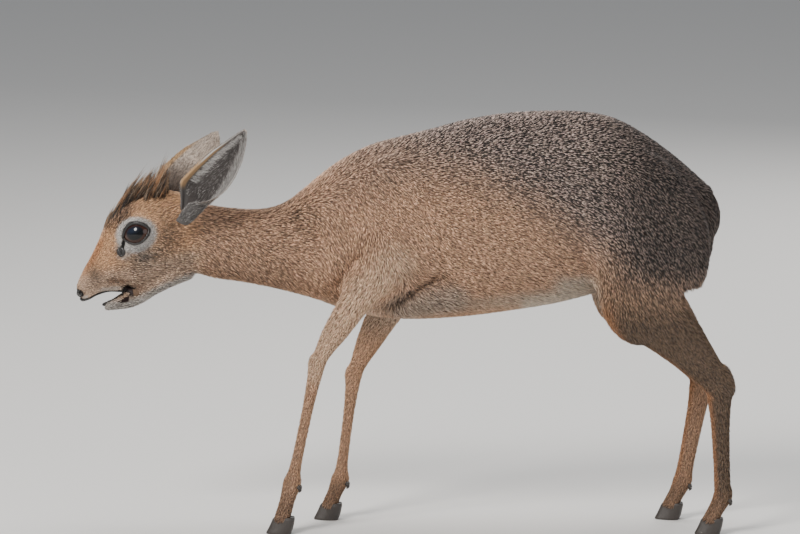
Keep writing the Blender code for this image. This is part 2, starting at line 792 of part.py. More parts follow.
def claw(name, foot, sign, which):
    """One claw of a hoof: flat inside and below, round outside, pointed at the toe."""
    x, y = foot[0], sign * foot[2]
    inward = -which
    rings = []
    for height, scale, back in CLAW_RINGS:
        ring = []
        for along, out in CLAW_OUTLINE:
            px = x + CLAW_LENGTH * along * scale + back
            py = y - inward * (CLAW_GAP / 2 + CLAW_WIDTH * out * scale)
            ring.append((px, py, CLAW_HEIGHT * height))
        rings.append(ring)
    return skin_rings(name, rings)


def add_dewclaws(foot, joint, sign):
    """Two small false hooves behind the fetlock."""
    for which in (-1, 1):
        back, out, up = DEWCLAW_PLACE
        centre = (joint[0] + back, sign * joint[2] + which * out, joint[1] + up)
        boolean(foot, ellipsoid("dewclaw", centre, DEWCLAW, 20.0, 8), "UNION")


def across_bone(joints, place):
    """A plane across a leg, with its normal up the bone."""
    joints = np.array(joints, float)
    bone = min(int(place), len(joints) - 2)
    step = joints[bone] - joints[bone + 1]
    point = joints[bone] - step * (place - bone)
    return (point[0], point[1]), math.degrees(math.atan2(step[1], step[0]))


def part_leg(lower, prefix, joints, sign, cuts):
    """Parts a leg across its bones and sets its claws under it, and returns the pieces."""
    pieces = []
    for name, place in cuts:
        beyond = plane_cut(lower, "rest", across_bone(joints, place))
        lower.name = prefix + name
        pieces.append(lower)
        lower = beyond
    remove(plane_cut(lower, "below", ((0.0, CLAW_HEIGHT + GAP / 2), 90.0)))
    lower.name = prefix + "foot"
    add_dewclaws(lower, joints[-2], sign)
    pieces.append(lower)
    for which, word in ((-sign, "inner"), (sign, "outer")):
        pieces.append(claw(prefix + "hoof_" + word, joints[-1], sign, which))
    for piece in pieces:
        keep_island(piece)
    return pieces


def part_body(body):
    """Parts the body into neck, torso and the pieces of the legs."""
    remove(plane_cut(body, "front", NECK_CUT))
    pieces = {}
    for side, sign in SIDES.items():
        outlines = (
            (f"foreleg_{side}_shoulder", SHOULDER_INSIDE, lambda grow: oval(*SHOULDER_OVAL, grow)),
            (f"foreleg_{side}_forearm", SHOULDER_INSIDE,
             lambda grow: ribbon(FORE_JOINTS[side], FORE_GIRTHS, 0.0, 1.0, FOREARM_MARGIN + grow)),
            (f"hindleg_{side}_thigh", THIGH_INSIDE, lambda grow: oval(*THIGH_OVAL, grow)),
        )
        for name, inner, outline in outlines:
            pieces[name] = part_off(body, name, lambda grow: prism(
                "cutter", outline(grow), inner - grow, OUTSIDE, sign))
    for side, sign in SIDES.items():
        for prefix, joints, first, cuts in (
                (f"foreleg_{side}_", FORE_JOINTS[side], 1, [("cannon", 1.86)]),
                (f"hindleg_{side}_", HIND_JOINTS[side], 2, [("gaskin", 1.84), ("cannon", 2.86)])):
            ankle = joints[first + 1]
            lower = copied(body, prefix)
            keep_island(lower, lambda p: p.z < 180 and p.y * sign > 0 and abs(p.x - ankle[0]) < 60)
            for piece in part_leg(lower, prefix, joints, sign, cuts):
                pieces[piece.name] = piece
    keep_island(body)
    pieces["neck"] = plane_cut(body, "neck", CHEST_CUT)
    pieces["torso"] = body
    for piece in pieces.values():
        keep_island(piece)
    return pieces


def part_head(head):
    """Parts the head into skull, lower jaw and nose, and opens the nostrils."""
    remove(plane_cut(head, "scrap", (NECK_CUT[0], NECK_CUT[1] + 180.0)))
    jaw = plane_cut(head, "lower_jaw", MOUTH_CUT)
    nose = plane_cut(head, "nose", NOSE_CUT)
    for sign in SIDES.values():
        x, y, z = NOSTRIL
        boolean(nose, ellipsoid("nostril", (x, sign * y, z), NOSTRIL_SIZE, 35.0, 12), "DIFFERENCE")
    for piece in (head, jaw, nose):
        keep_island(piece)
    head.name = "head"
    return {"head": head, "lower_jaw": jaw, "nose": nose}


def build_tail():
    """The short tail, hanging close to the rump."""
    rings = []
    rows = spline(TAIL, 2)
    for index, (x, z, half) in enumerate(rows):
        before, after = rows[max(index - 1, 0)], rows[min(index + 1, len(rows) - 1)]
        along = Vector((after[0] - before[0], after[1] - before[1])).normalized()
        ring = []
        for k in range(12):
            a = 2 * math.pi * k / 12
            c, s = math.cos(a) * half * 0.75, math.sin(a) * half
            ring.append((x + along.y * c, s, z - along.x * c))
        rings.append(ring)
    return skin_rings("tail", rings)


def finish(item, look):
    """Gives a piece its material and its shading."""
    colour, roughness = look
    material = bpy.data.materials.new(item.name)
    material.use_nodes = True
    shader = material.node_tree.nodes["Principled BSDF"]
    shader.inputs["Base Color"].default_value = colour
    shader.inputs["Roughness"].default_value = roughness
    item.data.materials.clear()
    item.data.materials.append(material)
    item.data.shade_smooth()


def place_all(pieces):
    """Turns millimetres into metres with the origin under the middle of the box round the animal."""
    points = np.array([v.co for item in pieces for v in item.data.vertices])
    low, high = points.min(axis=0), points.max(axis=0)
    shift = Vector(((low[0] + high[0]) / 2, (low[1] + high[1]) / 2, low[2]))
    for item in pieces:
        item.data.transform(Matrix.Scale(MM, 4) @ Matrix.Translation(-shift))


def main():
    clear_scene()
    pieces = part_body(build_body())
    whole_head = build_head()
    pieces.update(part_head(whole_head))
    head = pieces["head"]
    add_lids(head)
    keep_island(head)
    for side, sign in SIDES.items():
        ear = build_ear(f"ear_{side}", side)
        clear_of(ear, head)
        pieces[ear.name] = ear
        pieces[f"eye_{side}"] = build_eye(f"eye_{side}", sign)
    add_crest(head)
    tail = build_tail()
    clear_of(tail, pieces["torso"])
    pieces["tail"] = tail
    for name, item in pieces.items():
        item.name = name
        if name.startswith("eye"):
            finish(item, EYE_BROWN)
        elif "hoof" in name:
            finish(item, HORN)
        elif name == "nose":
            finish(item, BLACK_SKIN)
        elif name in ("torso", "tail") or "thigh" in name:
            finish(item, GRIZZLE)
        elif name == "neck" or "shoulder" in name:
            finish(item, HIDE)
        else:
            finish(item, TAN)
    place_all(list(pieces.values()))


main()
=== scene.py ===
"""Looks of the dik-dik: one skin, a coat of hair tufts, crest, ears, eyes, nose, lips and hooves.

Shapes are worked out in millimetres in the same working frame as the solids, whose x = 0 lies at the
withers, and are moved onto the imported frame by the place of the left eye.
"""
import math

import bmesh
import bpy
import numpy as np
from mathutils import Matrix, Vector
from mathutils.bvhtree import BVHTree
from mathutils.kdtree import KDTree


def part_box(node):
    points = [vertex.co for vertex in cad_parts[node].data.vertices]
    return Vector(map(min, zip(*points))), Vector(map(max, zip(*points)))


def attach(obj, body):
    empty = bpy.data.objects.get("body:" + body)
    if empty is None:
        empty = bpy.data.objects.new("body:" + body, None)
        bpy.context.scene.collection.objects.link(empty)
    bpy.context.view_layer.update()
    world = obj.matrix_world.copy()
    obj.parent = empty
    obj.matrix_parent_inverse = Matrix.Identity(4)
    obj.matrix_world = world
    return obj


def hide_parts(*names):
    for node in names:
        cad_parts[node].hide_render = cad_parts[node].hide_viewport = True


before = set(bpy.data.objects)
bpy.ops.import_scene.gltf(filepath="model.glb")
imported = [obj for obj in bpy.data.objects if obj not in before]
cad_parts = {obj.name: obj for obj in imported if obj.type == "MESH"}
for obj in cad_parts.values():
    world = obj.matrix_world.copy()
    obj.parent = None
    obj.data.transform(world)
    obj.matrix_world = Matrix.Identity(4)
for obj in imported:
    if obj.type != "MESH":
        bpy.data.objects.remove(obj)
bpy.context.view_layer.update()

MM = 0.001
SIDES = {"left": -1, "right": 1}
RING_POINTS = 28
RINGS_PER_SPAN = 6
SKIN_VOXEL = 1.3
NOSE_VOXEL = 0.32
SKIN_TRIANGLES = 180000

# Where the trunk begins behind the head, how high the legs reach, and where the face ends behind the eyes
BODY_FRONT = -150
LEG_TOP = 176
FACE_END = -190

# Camera and floor: the photograph is 800 by 534 pixels, and one pixel is 0.86 mm at the animal, which is
# seen from a little above, in degrees, and from far away in millimetres; the floor is in metres
PHOTO_SIZE = (800, 534)
PIXEL = 0.86
CAMERA_RISE = 8.0
CAMERA_DISTANCE = 5000.0
SENSOR_WIDTH = 36.0
PIXEL_OF_X0 = 400.0
PIXEL_OF_Z0 = 528.0
FLOOR_HALF_SIZE = 6.0

# Trunk and neck: upper point x, z, lower point x, z, half width, and how far the widest place lies low
TRUNK = [
    (-206.0, 287.0, -196.0, 224.5, 19.0, 0.00), (-182.0, 287.0, -176.0, 219.5, 21.5, 0.00),
    (-159.0, 282.0, -161.0, 215.0, 22.5, 0.00), (-137.5, 279.5, -144.5, 213.0, 23.0, 0.00),
    (-118.5, 279.0, -124.5, 210.0, 25.0, 0.00), (-100.5, 284.0, -107.5, 206.5, 28.0, 0.00),
    (-86.0, 294.5, -88.5, 202.0, 32.0, 0.02), (-70.5, 307.5, -70.5, 197.0, 36.0, 0.04),
    (-51.5, 321.5, -50.0, 190.0, 41.0, 0.06), (-26.0, 334.5, -24.0, 184.0, 46.0, 0.08),
    (0.0, 341.5, 0.0, 181.5, 51.0, 0.08), (26.0, 348.0, 26.0, 181.5, 56.0, 0.10),
    (56.0, 356.0, 60.0, 184.0, 61.0, 0.10), (90.5, 361.5, 94.5, 188.5, 64.0, 0.10),
    (124.5, 363.5, 127.5, 193.5, 62.0, 0.08), (155.0, 363.0, 159.0, 200.5, 56.0, 0.04),
    (182.5, 358.0, 185.0, 208.5, 51.0, 0.00), (206.5, 345.5, 210.5, 213.5, 46.0, -0.04),
    (230.5, 329.0, 234.0, 215.5, 41.0, -0.04), (252.0, 311.0, 253.5, 219.5, 33.0, 0.00),
    (266.5, 295.5, 266.5, 231.0, 22.0, 0.00), (273.5, 280.5, 272.5, 250.0, 9.0, 0.00),
]

# Skull and upper jaw, from the tip of the nose to the poll, as in the trunk
SKULL = [
    (-278.8, 208.5, -276.0, 199.8, 4.5, 0.00), (-276.6, 215.5, -270.0, 198.6, 8.6, 0.10),
    (-271.2, 227.0, -260.5, 203.8, 11.0, 0.16), (-265.0, 238.4, -249.5, 209.5, 13.0, 0.18),
    (-259.8, 249.2, -236.5, 208.5, 16.0, 0.16), (-254.8, 261.4, -221.0, 206.0, 20.0, 0.05),
    (-246.0, 275.4, -206.5, 211.0, 24.5, -0.06), (-232.8, 286.4, -191.0, 218.5, 27.0, -0.10),
    (-214.5, 293.0, -180.5, 223.0, 26.5, -0.05), (-193.5, 293.0, -169.5, 229.0, 24.0, 0.00),
    (-176.5, 287.5, -159.0, 234.5, 20.0, 0.00),
]

# Lower jaw, from the chin to the angle of the jaw, as in the trunk
JAW = [
    (-255.5, 192.5, -254.5, 189.0, 3.0, 0.00), (-250.0, 195.5, -247.5, 188.5, 6.2, 0.00),
    (-239.0, 201.0, -234.0, 190.0, 8.2, 0.00), (-230.5, 206.5, -222.0, 194.5, 10.5, 0.05),
    (-222.0, 212.0, -208.0, 203.0, 13.0, 0.00), (-206.5, 224.0, -191.0, 211.0, 16.0, 0.00),
    (-189.0, 231.0, -176.5, 215.5, 17.0, 0.00),
]

# Edges of the lips from the nose to the corner of the mouth: x, distance from the middle, z, radius
UPPER_LIP = [
    (-272.5, 6.0, 200.4, 1.8), (-267.0, 8.6, 202.4, 2.0), (-260.5, 10.4, 206.2, 2.1),
    (-250.0, 12.0, 209.6, 2.2), (-238.0, 14.5, 209.4, 2.2),
]
LOWER_LIP = [
    (-254.0, 3.0, 193.5, 1.6), (-247.0, 6.2, 196.0, 2.0), (-239.0, 9.0, 201.0, 2.2),
    (-233.0, 12.0, 206.0, 2.2),
]
LIP_SPARE = 0.9

# Middle of the nostril as x, z
NOSTRIL = (-275.2, 205.8)

# Joint centres of each leg as x, z with the distance from the middle plane
FORE_JOINTS = {
    "left": [(-4.0, 250.0, 46.0), (-70.5, 150.0, 39.0), (-92.5, 45.0, 34.0), (-102.0, 10.0, 33.5)],
    "right": [(20.0, 234.0, 46.0), (-40.0, 128.0, 39.0), (-52.0, 36.0, 35.0), (-62.0, 10.0, 34.5)],
}
HIND_JOINTS = {
    "left": [(214.0, 298.0, 34.0), (212.0, 202.0, 40.0), (273.0, 130.0, 39.0), (277.0, 34.0, 37.0),
             (266.0, 10.0, 36.5)],
    "right": [(212.0, 298.0, 34.0), (206.0, 202.0, 40.0), (264.0, 128.0, 39.0), (246.0, 34.0, 37.0),
              (235.0, 10.0, 36.5)],
}

# Girth along each leg: bone and part of its length, half depth, half width, and how far the middle of the
# flesh lies in front of the bone
FORE_GIRTHS = [
    (0.00, 28.0, 15.0, 0.0), (0.25, 20.5, 13.5, 2.5), (0.50, 15.4, 11.0, 3.5), (0.75, 11.2, 8.8, 2.5),
    (0.92, 7.8, 7.4, 0.9), (1.00, 8.2, 7.8, 0.0), (1.12, 6.8, 6.8, 0.0), (1.35, 5.4, 5.8, 0.0),
    (1.65, 5.1, 5.6, 0.0), (1.88, 5.6, 6.2, 0.0), (2.00, 8.0, 7.8, 0.0), (2.50, 6.8, 7.0, 0.0),
    (3.00, 7.8, 8.2, 0.0),
]
HIND_GIRTHS = [
    (0.00, 36.0, 15.0, 0.0), (0.30, 51.0, 21.5, 0.0), (0.65, 54.0, 23.5, 0.0), (1.00, 42.0, 19.5, 0.0),
    (1.25, 29.0, 15.5, 0.0), (1.50, 21.5, 12.5, 0.0), (1.75, 16.5, 10.0, 0.0), (1.92, 14.0, 9.0, 0.0),
    (2.00, 14.0, 8.8, 0.0), (2.12, 11.5, 8.0, 0.0), (2.30, 9.2, 7.4, 0.0), (2.60, 8.0, 6.8, 0.0),
    (2.88, 7.6, 6.8, 0.0), (3.00, 8.6, 8.0, 0.0), (3.50, 7.2, 7.2, 0.0), (4.00, 8.2, 8.6, 0.0),
]

# Muscles on both sides: centre x, distance from the middle, z, half length, half width, half height, tilt
MUSCLES = [
    (-12.0, 32.0, 286.0, 32.0, 12.0, 44.0, 12.0),
    (-6.0, 42.0, 251.0, 38.0, 16.5, 25.0, 6.0),
    (-44.0, 27.0, 242.0, 30.0, 17.0, 30.0, 20.0),
    (13.0, 46.0, 240.0, 20.0, 13.0, 12.0, 20.0),
    (200.0, 34.0, 290.0, 44.0, 19.0, 44.0, 20.0),
]
EAR_BASE = (12.0, 8.0, 12.0)
POINT_OF_HOCK = (5.5, 5.0, 15.0)
HOCK_BACK = 7.5
HOCK_UP = 6.0

# Eyes: centre of the left ball with the distance outwards, radius, outward axis, half opening of the lids,
# how much the almond narrows towards its corners, and its slant in degrees
EYE_CENTRE = (-223.0, 17.5, 258.5)
EYE_RADIUS = 14.2
EYE_AXIS = (-0.26, 0.955, 0.10)
LID_OPENING = (12.3, 9.6)
LID_SQUEEZE = 0.22
LID_SLANT = 17.0

# Ears: root, tip and the way the cup opens, each as x, distance outwards, z, and how broad the ear looks
EARS = {
    "left": ((-183.5, 20.0, 273.0), (-131.5, 52.0, 350.0), (-0.42, 0.90, 0.02), 1.0),
    "right": ((-201.0, 18.0, 278.0), (-159.0, 72.0, 334.5), (-0.12, 1.0, 0.0), 1.12),
}
EAR_WALL = 1.3
EAR_BOW = 4.0

# Halves of the ear before and behind its middle line: place along it, half width, curl in degrees
EAR_FRONT = [
    (0.0, 5.0, 48.0), (0.08, 8.5, 56.0), (0.16, 13.0, 62.0), (0.26, 18.0, 66.0), (0.37, 17.5, 67.0),
    (0.53, 15.5, 62.0), (0.66, 13.0, 56.0), (0.80, 8.6, 48.0), (0.93, 4.2, 40.0), (1.0, 1.4, 38.0),
]
EAR_REAR = [
    (0.0, 8.5, 176.0), (0.12, 10.5, 174.0), (0.24, 12.0, 164.0), (0.34, 14.5, 114.0), (0.44, 17.5, 80.0),
    (0.54, 18.5, 64.0), (0.64, 17.6, 55.0), (0.78, 14.0, 46.0), (0.88, 9.6, 42.0), (0.95, 5.6, 39.0),
    (1.0, 1.4, 38.0),
]

# Tail: centre x, z and half width, from its root to its tip
TAIL = [
    (256.0, 301.0, 7.0), (267.5, 292.0, 7.0), (275.0, 278.0, 6.2), (277.0, 265.0, 4.8), (276.0, 253.0, 1.8),
]

# Crest: where its roots lie, and along it how long the hair is and how far it leans back in degrees
CREST_X = (-256.0, -202.0)
CREST_HALF_WIDTH = (4.5, 11.5)
CREST_LENGTH = [(0.0, 17.0), (0.15, 31.0), (0.3, 41.0), (0.47, 35.0), (0.6, 25.0), (0.7, 28.0), (0.84, 38.0),
                (1.0, 30.0)]
CREST_LEAN = [(0.0, 36.0), (0.3, 34.0), (0.47, 29.0), (0.62, 24.0), (0.84, 25.0), (1.0, 14.0)]
CREST_LOCKS = 82
CREST_STRANDS = 28

# Folds that are pressed into both sides: depth, half width, which leg they go with, and points x, z
FOLDS = [
    (3.0, 6.5, "", [(-96.0, 276.0), (-76.0, 264.0), (-60.0, 250.0)]),
    (2.4, 3.6, "fore", [(27.0, 266.0), (33.0, 254.0), (37.0, 242.0), (38.0, 230.0)]),
    (5.5, 5.5, "fore", [(40.0, 228.0), (17.0, 213.0), (-1.0, 199.0), (-20.0, 186.0)]),
    (2.5, 4.0, "fore", [(-34.0, 250.0), (-50.0, 226.0), (-58.0, 208.0)]),
    (2.6, 5.0, "hind", [(150.0, 262.0), (156.0, 240.0), (166.0, 220.0), (180.0, 204.0)]),
    (1.8, 5.0, "hind", [(232.0, 250.0), (236.0, 225.0), (238.0, 205.0)]),
    (0.9, 2.6, "", [(-232.0, 240.0), (-218.0, 235.0), (-204.0, 236.0)]),
    (0.9, 2.0, "", [(-250.0, 216.5), (-244.0, 217.0), (-238.0, 216.0), (-234.0, 212.0)]),
]

# Line of the mouth on the upper lip and the crease above its corner as x, z, and the gland and the line
# to it from the eye, forward and up in the plane of the eye
LIP_LINE = [(-275.0, 198.6), (-269.6, 198.6), (-264.9, 201.2), (-260.6, 204.0), (-255.4, 205.8),
            (-248.5, 207.0), (-239.0, 207.4)]
MOUTH_CREASE = [(-250.0, 216.0), (-239.0, 216.0)]
GLAND = (19.6, -10.8)
GLAND_HALF_SIZE = 4.2
GLAND_HALF_LENGTH = 4.0
GLAND_RISE = 1.4
GLAND_SLIT = 0.9
TEAR_LINE = [(13.0, -2.0), GLAND]
TEAR_HALF_WIDTH = 1.9

# Hooves: two claws to a foot
CLAW_LENGTH = 21.0
CLAW_WIDTH = 7.6
CLAW_HEIGHT = 13.0
CLAW_GAP = 0.8


def srgb(red, green, blue):
    """A colour given as 0 to 255 on a screen, turned to linear light."""
    values = []
    for value in (red, green, blue):
        value /= 255.0
        values.append(value / 12.92 if value <= 0.04045 else ((value + 0.055) / 1.055) ** 2.4)
    return np.array(values)


# Colours of the coat, the ears and the bare parts
TAWNY = srgb(216, 173, 141)
TAWNY_DEEP = srgb(196, 142, 102)
TEMPLE = srgb(224, 176, 134)
GRIZZLE = srgb(150, 132, 123)
# Dark ticked coat of the rump, darkened further with painted shade
RUMP_COAT_AND_SHADE = srgb(92, 80, 74)
BUFF = srgb(222, 204, 184)
BELLY_GREY = srgb(188, 170, 154)
# Tan of the forearm, painted brighter with the light that falls on it
LEG_TAN = srgb(212, 168, 134)
FOREARM_TAN_AND_LIGHT = srgb(236, 196, 164)
HIND_TAN = srgb(116, 94, 75)
CHIN = srgb(186, 178, 170)
CHEEK = srgb(196, 166, 142)
PALE_LIP = srgb(190, 176, 164)
RING = srgb(214, 209, 205)
BLACK = srgb(22, 19, 18)
CREST_DARK = srgb(72, 58, 48)
CREST_BROWN = srgb(140, 112, 86)
CREST_PALE = srgb(208, 180, 150)
CREST_ORANGE = srgb(206, 150, 104)
EAR_INSIDE = srgb(112, 105, 103)
EAR_BACK = srgb(214, 196, 180)
EAR_BACK_LOW = srgb(112, 98, 88)
EAR_RIM = srgb(110, 92, 78)
EAR_LOBE = srgb(112, 108, 106)
EAR_STRIP = srgb(206, 168, 126)
WHITE_HAIR = srgb(226, 222, 218)
# Inside of the mouth: its own red-brown darkened with painted shade
MOUTH_IN_SHADE = srgb(46, 28, 27)
MOUTH_CORNER = srgb(124, 100, 82)
HORN = srgb(60, 54, 50)
IRIS = srgb(56, 30, 18)
EYE_WHITE = srgb(26, 19, 17)
PUPIL = srgb(7, 7, 9)
# Painted reflection of the sky on the eye
PAINTED_SKY_REFLECTION = srgb(30, 38, 54)


def spline(rows, steps):
    """Rows of numbers resampled by a Catmull-Rom curve, with so many steps between each two rows."""
    rows = np.array(rows, float)
    padded = np.vstack([2 * rows[0] - rows[1], rows, 2 * rows[-1] - rows[-2]])
    out = []
    for index in range(len(rows) - 1):
        a, b, c, d = padded[index:index + 4]
        for step in range(steps):
            t = step / steps
            out.append(0.5 * (2 * b + (c - a) * t + (2 * a - 5 * b + 4 * c - d) * t ** 2
                              + (3 * b - a - 3 * c + d) * t ** 3))
    out.append(rows[-1])
    return np.array(out)


def ramp(value, low, high):
    """A smooth step from 0 at low to 1 at high, which may be the other way round."""
    t = np.clip((value - low) / (high - low), 0.0, 1.0)
    return t * t * (3 - 2 * t)


def unit(vectors):
    """Vectors of length one."""
    return vectors / np.maximum(np.linalg.norm(vectors, axis=-1, keepdims=True), 1e-9)


def grid_faces(rows, columns, closed=False):
    """Faces of a grid that closes round each row of points, and from the last row to the first if closed."""
    faces = []
    for r in range(rows if closed else rows - 1):
        s = (r + 1) % rows
        for k in range(columns):
            n = (k + 1) % columns
            faces.append((r * columns + k, r * columns + n, s * columns + n, s * columns + k))
    return faces


def tube(rings):
    """Points and faces of a closed tube through rings of points."""
    rows, columns = len(rings), len(rings[0])
    last = (rows - 1) * columns
    caps = [tuple(range(columns)), tuple(last + k for k in range(columns))]
    return np.array(rings, float).reshape(-1, 3), grid_faces(rows, columns) + caps


def profile_tube(rows):
    """A tube about the middle plane from upper and lower profile points and half widths."""
    rings = []
    for ux, uz, lx, lz, width, low in spline(rows, RINGS_PER_SPAN):
        ring = []
        for k in range(RING_POINTS):
            a = 2 * math.pi * k / RING_POINTS
            c, s = math.cos(a), math.sin(a)
            ring.append(((ux + lx) / 2 + (ux - lx) / 2 * c, width * s * (1 - low * c),
                         (uz + lz) / 2 + (uz - lz) / 2 * c))
        rings.append(ring)
    return tube(rings)


def path_tube(path, count=RING_POINTS):
    """A tube along rows of x, z, distance from the middle plane, half depth and half width."""
    rings = []
    for index, (x, z, y, depth, width) in enumerate(path):
        before, after = path[max(index - 1, 0)], path[min(index + 1, len(path) - 1)]
        along = Vector((after[0] - before[0], after[1] - before[1])).normalized()
        ring = []
        for k in range(count):
            a = 2 * math.pi * k / count
            c, s = math.cos(a) * depth, math.sin(a) * width
            ring.append((x + along.y * c, y + s, z - along.x * c))
        rings.append(ring)
    return tube(rings)


def leg_path(joints, girths, sign):
    """Centre, half depth and half width along a leg, from its joints and its girths."""
    joints = np.array(joints, float)
    rows = []
    for place, depth, width, bow in girths:
        bone = min(int(place), len(joints) - 2)
        x, z, y = joints[bone] + (joints[bone + 1] - joints[bone]) * (place - bone)
        rows.append((x - bow, z, sign * y, depth, width))
    return spline(rows, RINGS_PER_SPAN)


def ellipsoid(centre, radii, tilt=0.0, segments=28):
    """Points and faces of an ellipsoid with its long axes tilted in the side view."""
    work = bmesh.new()
    bmesh.ops.create_uvsphere(work, u_segments=segments, v_segments=segments // 2, radius=1.0)
    turn = Matrix.Rotation(math.radians(tilt), 4, "Y")
    bmesh.ops.transform(work, matrix=Matrix.Translation(centre) @ turn @ Matrix.Diagonal((*radii, 1.0)),
                        verts=work.verts)
    verts = np.array([v.co[:] for v in work.verts])
    faces = [tuple(v.index for v in f.verts) for f in work.faces]
    work.free()
    return verts, faces


def joined(parts):
    """Several sets of points and faces as one."""
    verts, faces, start = [], [], 0
    for points, polygons in parts:
        verts.append(np.asarray(points, float))
        faces += [tuple(i + start for i in polygon) for polygon in polygons]
        start += len(points)
    return np.vstack(verts), faces


EYE_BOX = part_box("eye_left")
SHIFT = np.array([(EYE_BOX[0][i] + EYE_BOX[1][i]) / 2 for i in range(3)]) / MM
SHIFT -= np.array((EYE_CENTRE[0], -EYE_CENTRE[1], EYE_CENTRE[2]))


def to_frame(points):
    """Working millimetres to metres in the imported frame."""
    return (np.asarray(points, float) + SHIFT) * MM


def new_mesh(name, verts, faces):
    """A mesh from working points and faces of any size, with its faces pointing out."""
    mesh = bpy.data.meshes.new(name)
    mesh.from_pydata([tuple(p) for p in verts.tolist()], [], faces)
    mesh.validate()
    work = bmesh.new()
    work.from_mesh(mesh)
    bmesh.ops.recalc_face_normals(work, faces=work.faces)
    work.to_mesh(mesh)
    work.free()
    return mesh


def triangle_mesh(name, verts, triangles):
    """A mesh from numpy arrays of points in metres and triangles."""
    mesh = bpy.data.meshes.new(name)
    mesh.vertices.add(len(verts))
    mesh.vertices.foreach_set("co", np.asarray(verts, np.float32).ravel())
    mesh.loops.add(len(triangles) * 3)
    mesh.loops.foreach_set("vertex_index", np.asarray(triangles, np.int32).ravel())
    mesh.polygons.add(len(triangles))
    mesh.polygons.foreach_set("loop_start", np.arange(len(triangles), dtype=np.int32) * 3)
    mesh.update(calc_edges=True)
    mesh.polygons.foreach_set("use_smooth", np.ones(len(triangles), bool))
    return mesh


def piece(name, mesh, material, nodes=()):
    """Adds a mesh as a piece that rides on the animal's one body and stands for some of its nodes."""
    made = bpy.data.objects.new(name, mesh)
    bpy.context.scene.collection.objects.link(made)
    mesh.materials.clear()
    mesh.materials.append(material)
    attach(made, "root")
    if nodes:
        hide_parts(*nodes)
    return made


def smooth_piece(name, shape, material, nodes=()):
    """Adds working points and faces as a smooth piece."""
    verts, faces = shape
    mesh = new_mesh(name, to_frame(verts), faces)
    mesh.shade_smooth()
    piece(name, mesh, material, nodes)
    return mesh


def swept(centres, radii, count=12, closed=False, towards=(0.0, 0.0, 1.0)):
    """A round tube along any path, closed on itself or rounded off at both ends by its radii."""
    centres = np.asarray(centres, float)
    step = np.roll(centres, -1, axis=0) - np.roll(centres, 1, axis=0)
    if not closed:
        step[0], step[-1] = centres[1] - centres[0], centres[-1] - centres[-2]
    along = unit(step)
    side = unit(np.cross(along, np.asarray(towards, float)))
    up = np.cross(side, along)
    angle = 2 * np.pi * np.arange(count) / count
    rings = (centres[:, None] + (side[:, None] * np.cos(angle)[None, :, None]
                                 + up[:, None] * np.sin(angle)[None, :, None])
             * np.asarray(radii, float)[:, None, None])
    if not closed:
        return tube(rings)
    return rings.reshape(-1, 3), grid_faces(len(centres), count, True)


def lip_roll(rows, sign):
    """A round roll along one edge of the mouth, stout enough to last when the skin is smoothed and sunk."""
    rows = spline(rows, 8)
    return swept(rows[:, :3] * (1, sign, 1), rows[:, 3] + LIP_SPARE)


def evaluated(mesh, modifiers):
    """A mesh after a list of modifiers, each given by its kind and its settings."""
    holder = bpy.data.objects.new("holder", mesh)
    bpy.context.scene.collection.objects.link(holder)
    for kind, settings in modifiers:
        step = holder.modifiers.new(kind.lower(), kind)
        for key, value in settings.items():
            setattr(step, key, value)
    bpy.context.view_layer.update()
    graph = bpy.context.evaluated_depsgraph_get()
    result = bpy.data.meshes.new_from_object(holder.evaluated_get(graph))
    bpy.data.objects.remove(holder, do_unlink=True)
    return result


def points_of(mesh):
    """A mesh's points as an array."""
    points = np.empty(len(mesh.vertices) * 3)
    mesh.vertices.foreach_get("co", points)
    return points.reshape(-1, 3)


def set_points(mesh, points):
    """Writes a mesh's points."""
    mesh.vertices.foreach_set("co", np.asarray(points, np.float32).ravel())
    mesh.update()


def triangles_of(mesh):
    """A mesh's triangles as an array of point numbers."""
    mesh.calc_loop_triangles()
    found = np.empty(len(mesh.loop_triangles) * 3, np.int32)
    mesh.loop_triangles.foreach_get("vertices", found)
    return found.reshape(-1, 3)


def edges_of(mesh):
    """A mesh's edges as an array of point numbers."""
    found = np.empty(len(mesh.edges) * 2, np.int32)
    mesh.edges.foreach_get("vertices", found)
    return found.reshape(-1, 2)


def point_normals(points, triangles):
    """Normals at the points, weighted by the area of the triangles round them."""
    a, b, c = (points[triangles[:, k]] for k in range(3))
    across = np.cross(b - a, c - a)
    total = np.zeros_like(points)
    for k in range(3):
        for axis in range(3):
            total[:, axis] += np.bincount(triangles[:, k], across[:, axis], len(points))
    return unit(total)


def relaxed(points, edges, weight, rounds):
    """Points drawn towards the mean of their neighbours, as strongly as the weight says."""
    a, b = edges[:, 0], edges[:, 1]
    count = len(points)
    valence = np.maximum(np.bincount(np.concatenate([a, b]), minlength=count), 1)
    for _ in range(rounds):
        mean = np.empty_like(points)
        for axis in range(3):
            mean[:, axis] = (np.bincount(a, points[b, axis], count)
                             + np.bincount(b, points[a, axis], count)) / valence
        points = points + 0.5 * weight[:, None] * (mean - points)
    return points


def set_attribute(mesh, name, values):
    """Stores one number, or one colour, for each point."""
    values = np.asarray(values, np.float32)
    if values.ndim == 1:
        mesh.attributes.new(name, "FLOAT", "POINT").data.foreach_set("value", values)
    else:
        rgba = np.ones((len(values), 4), np.float32)
        rgba[:, :3] = values
        mesh.attributes.new(name, "FLOAT_COLOR", "POINT").data.foreach_set("color", rgba.ravel())


def eye_axes(sign):
    """The centre of an eyeball and its outward, upward and forward directions."""
    centre = np.array((EYE_CENTRE[0], sign * EYE_CENTRE[1], EYE_CENTRE[2]))
    axis = unit(np.array((EYE_AXIS[0], sign * EYE_AXIS[1], EYE_AXIS[2])))
    slant = math.radians(LID_SLANT)
    forward = np.array((-math.cos(slant), 0.0, -math.sin(slant)))
    forward = unit(forward - axis * forward.dot(axis))
    up = np.cross(axis, forward)
    if up[2] < 0:
        up = -up
    return centre, axis, up, forward


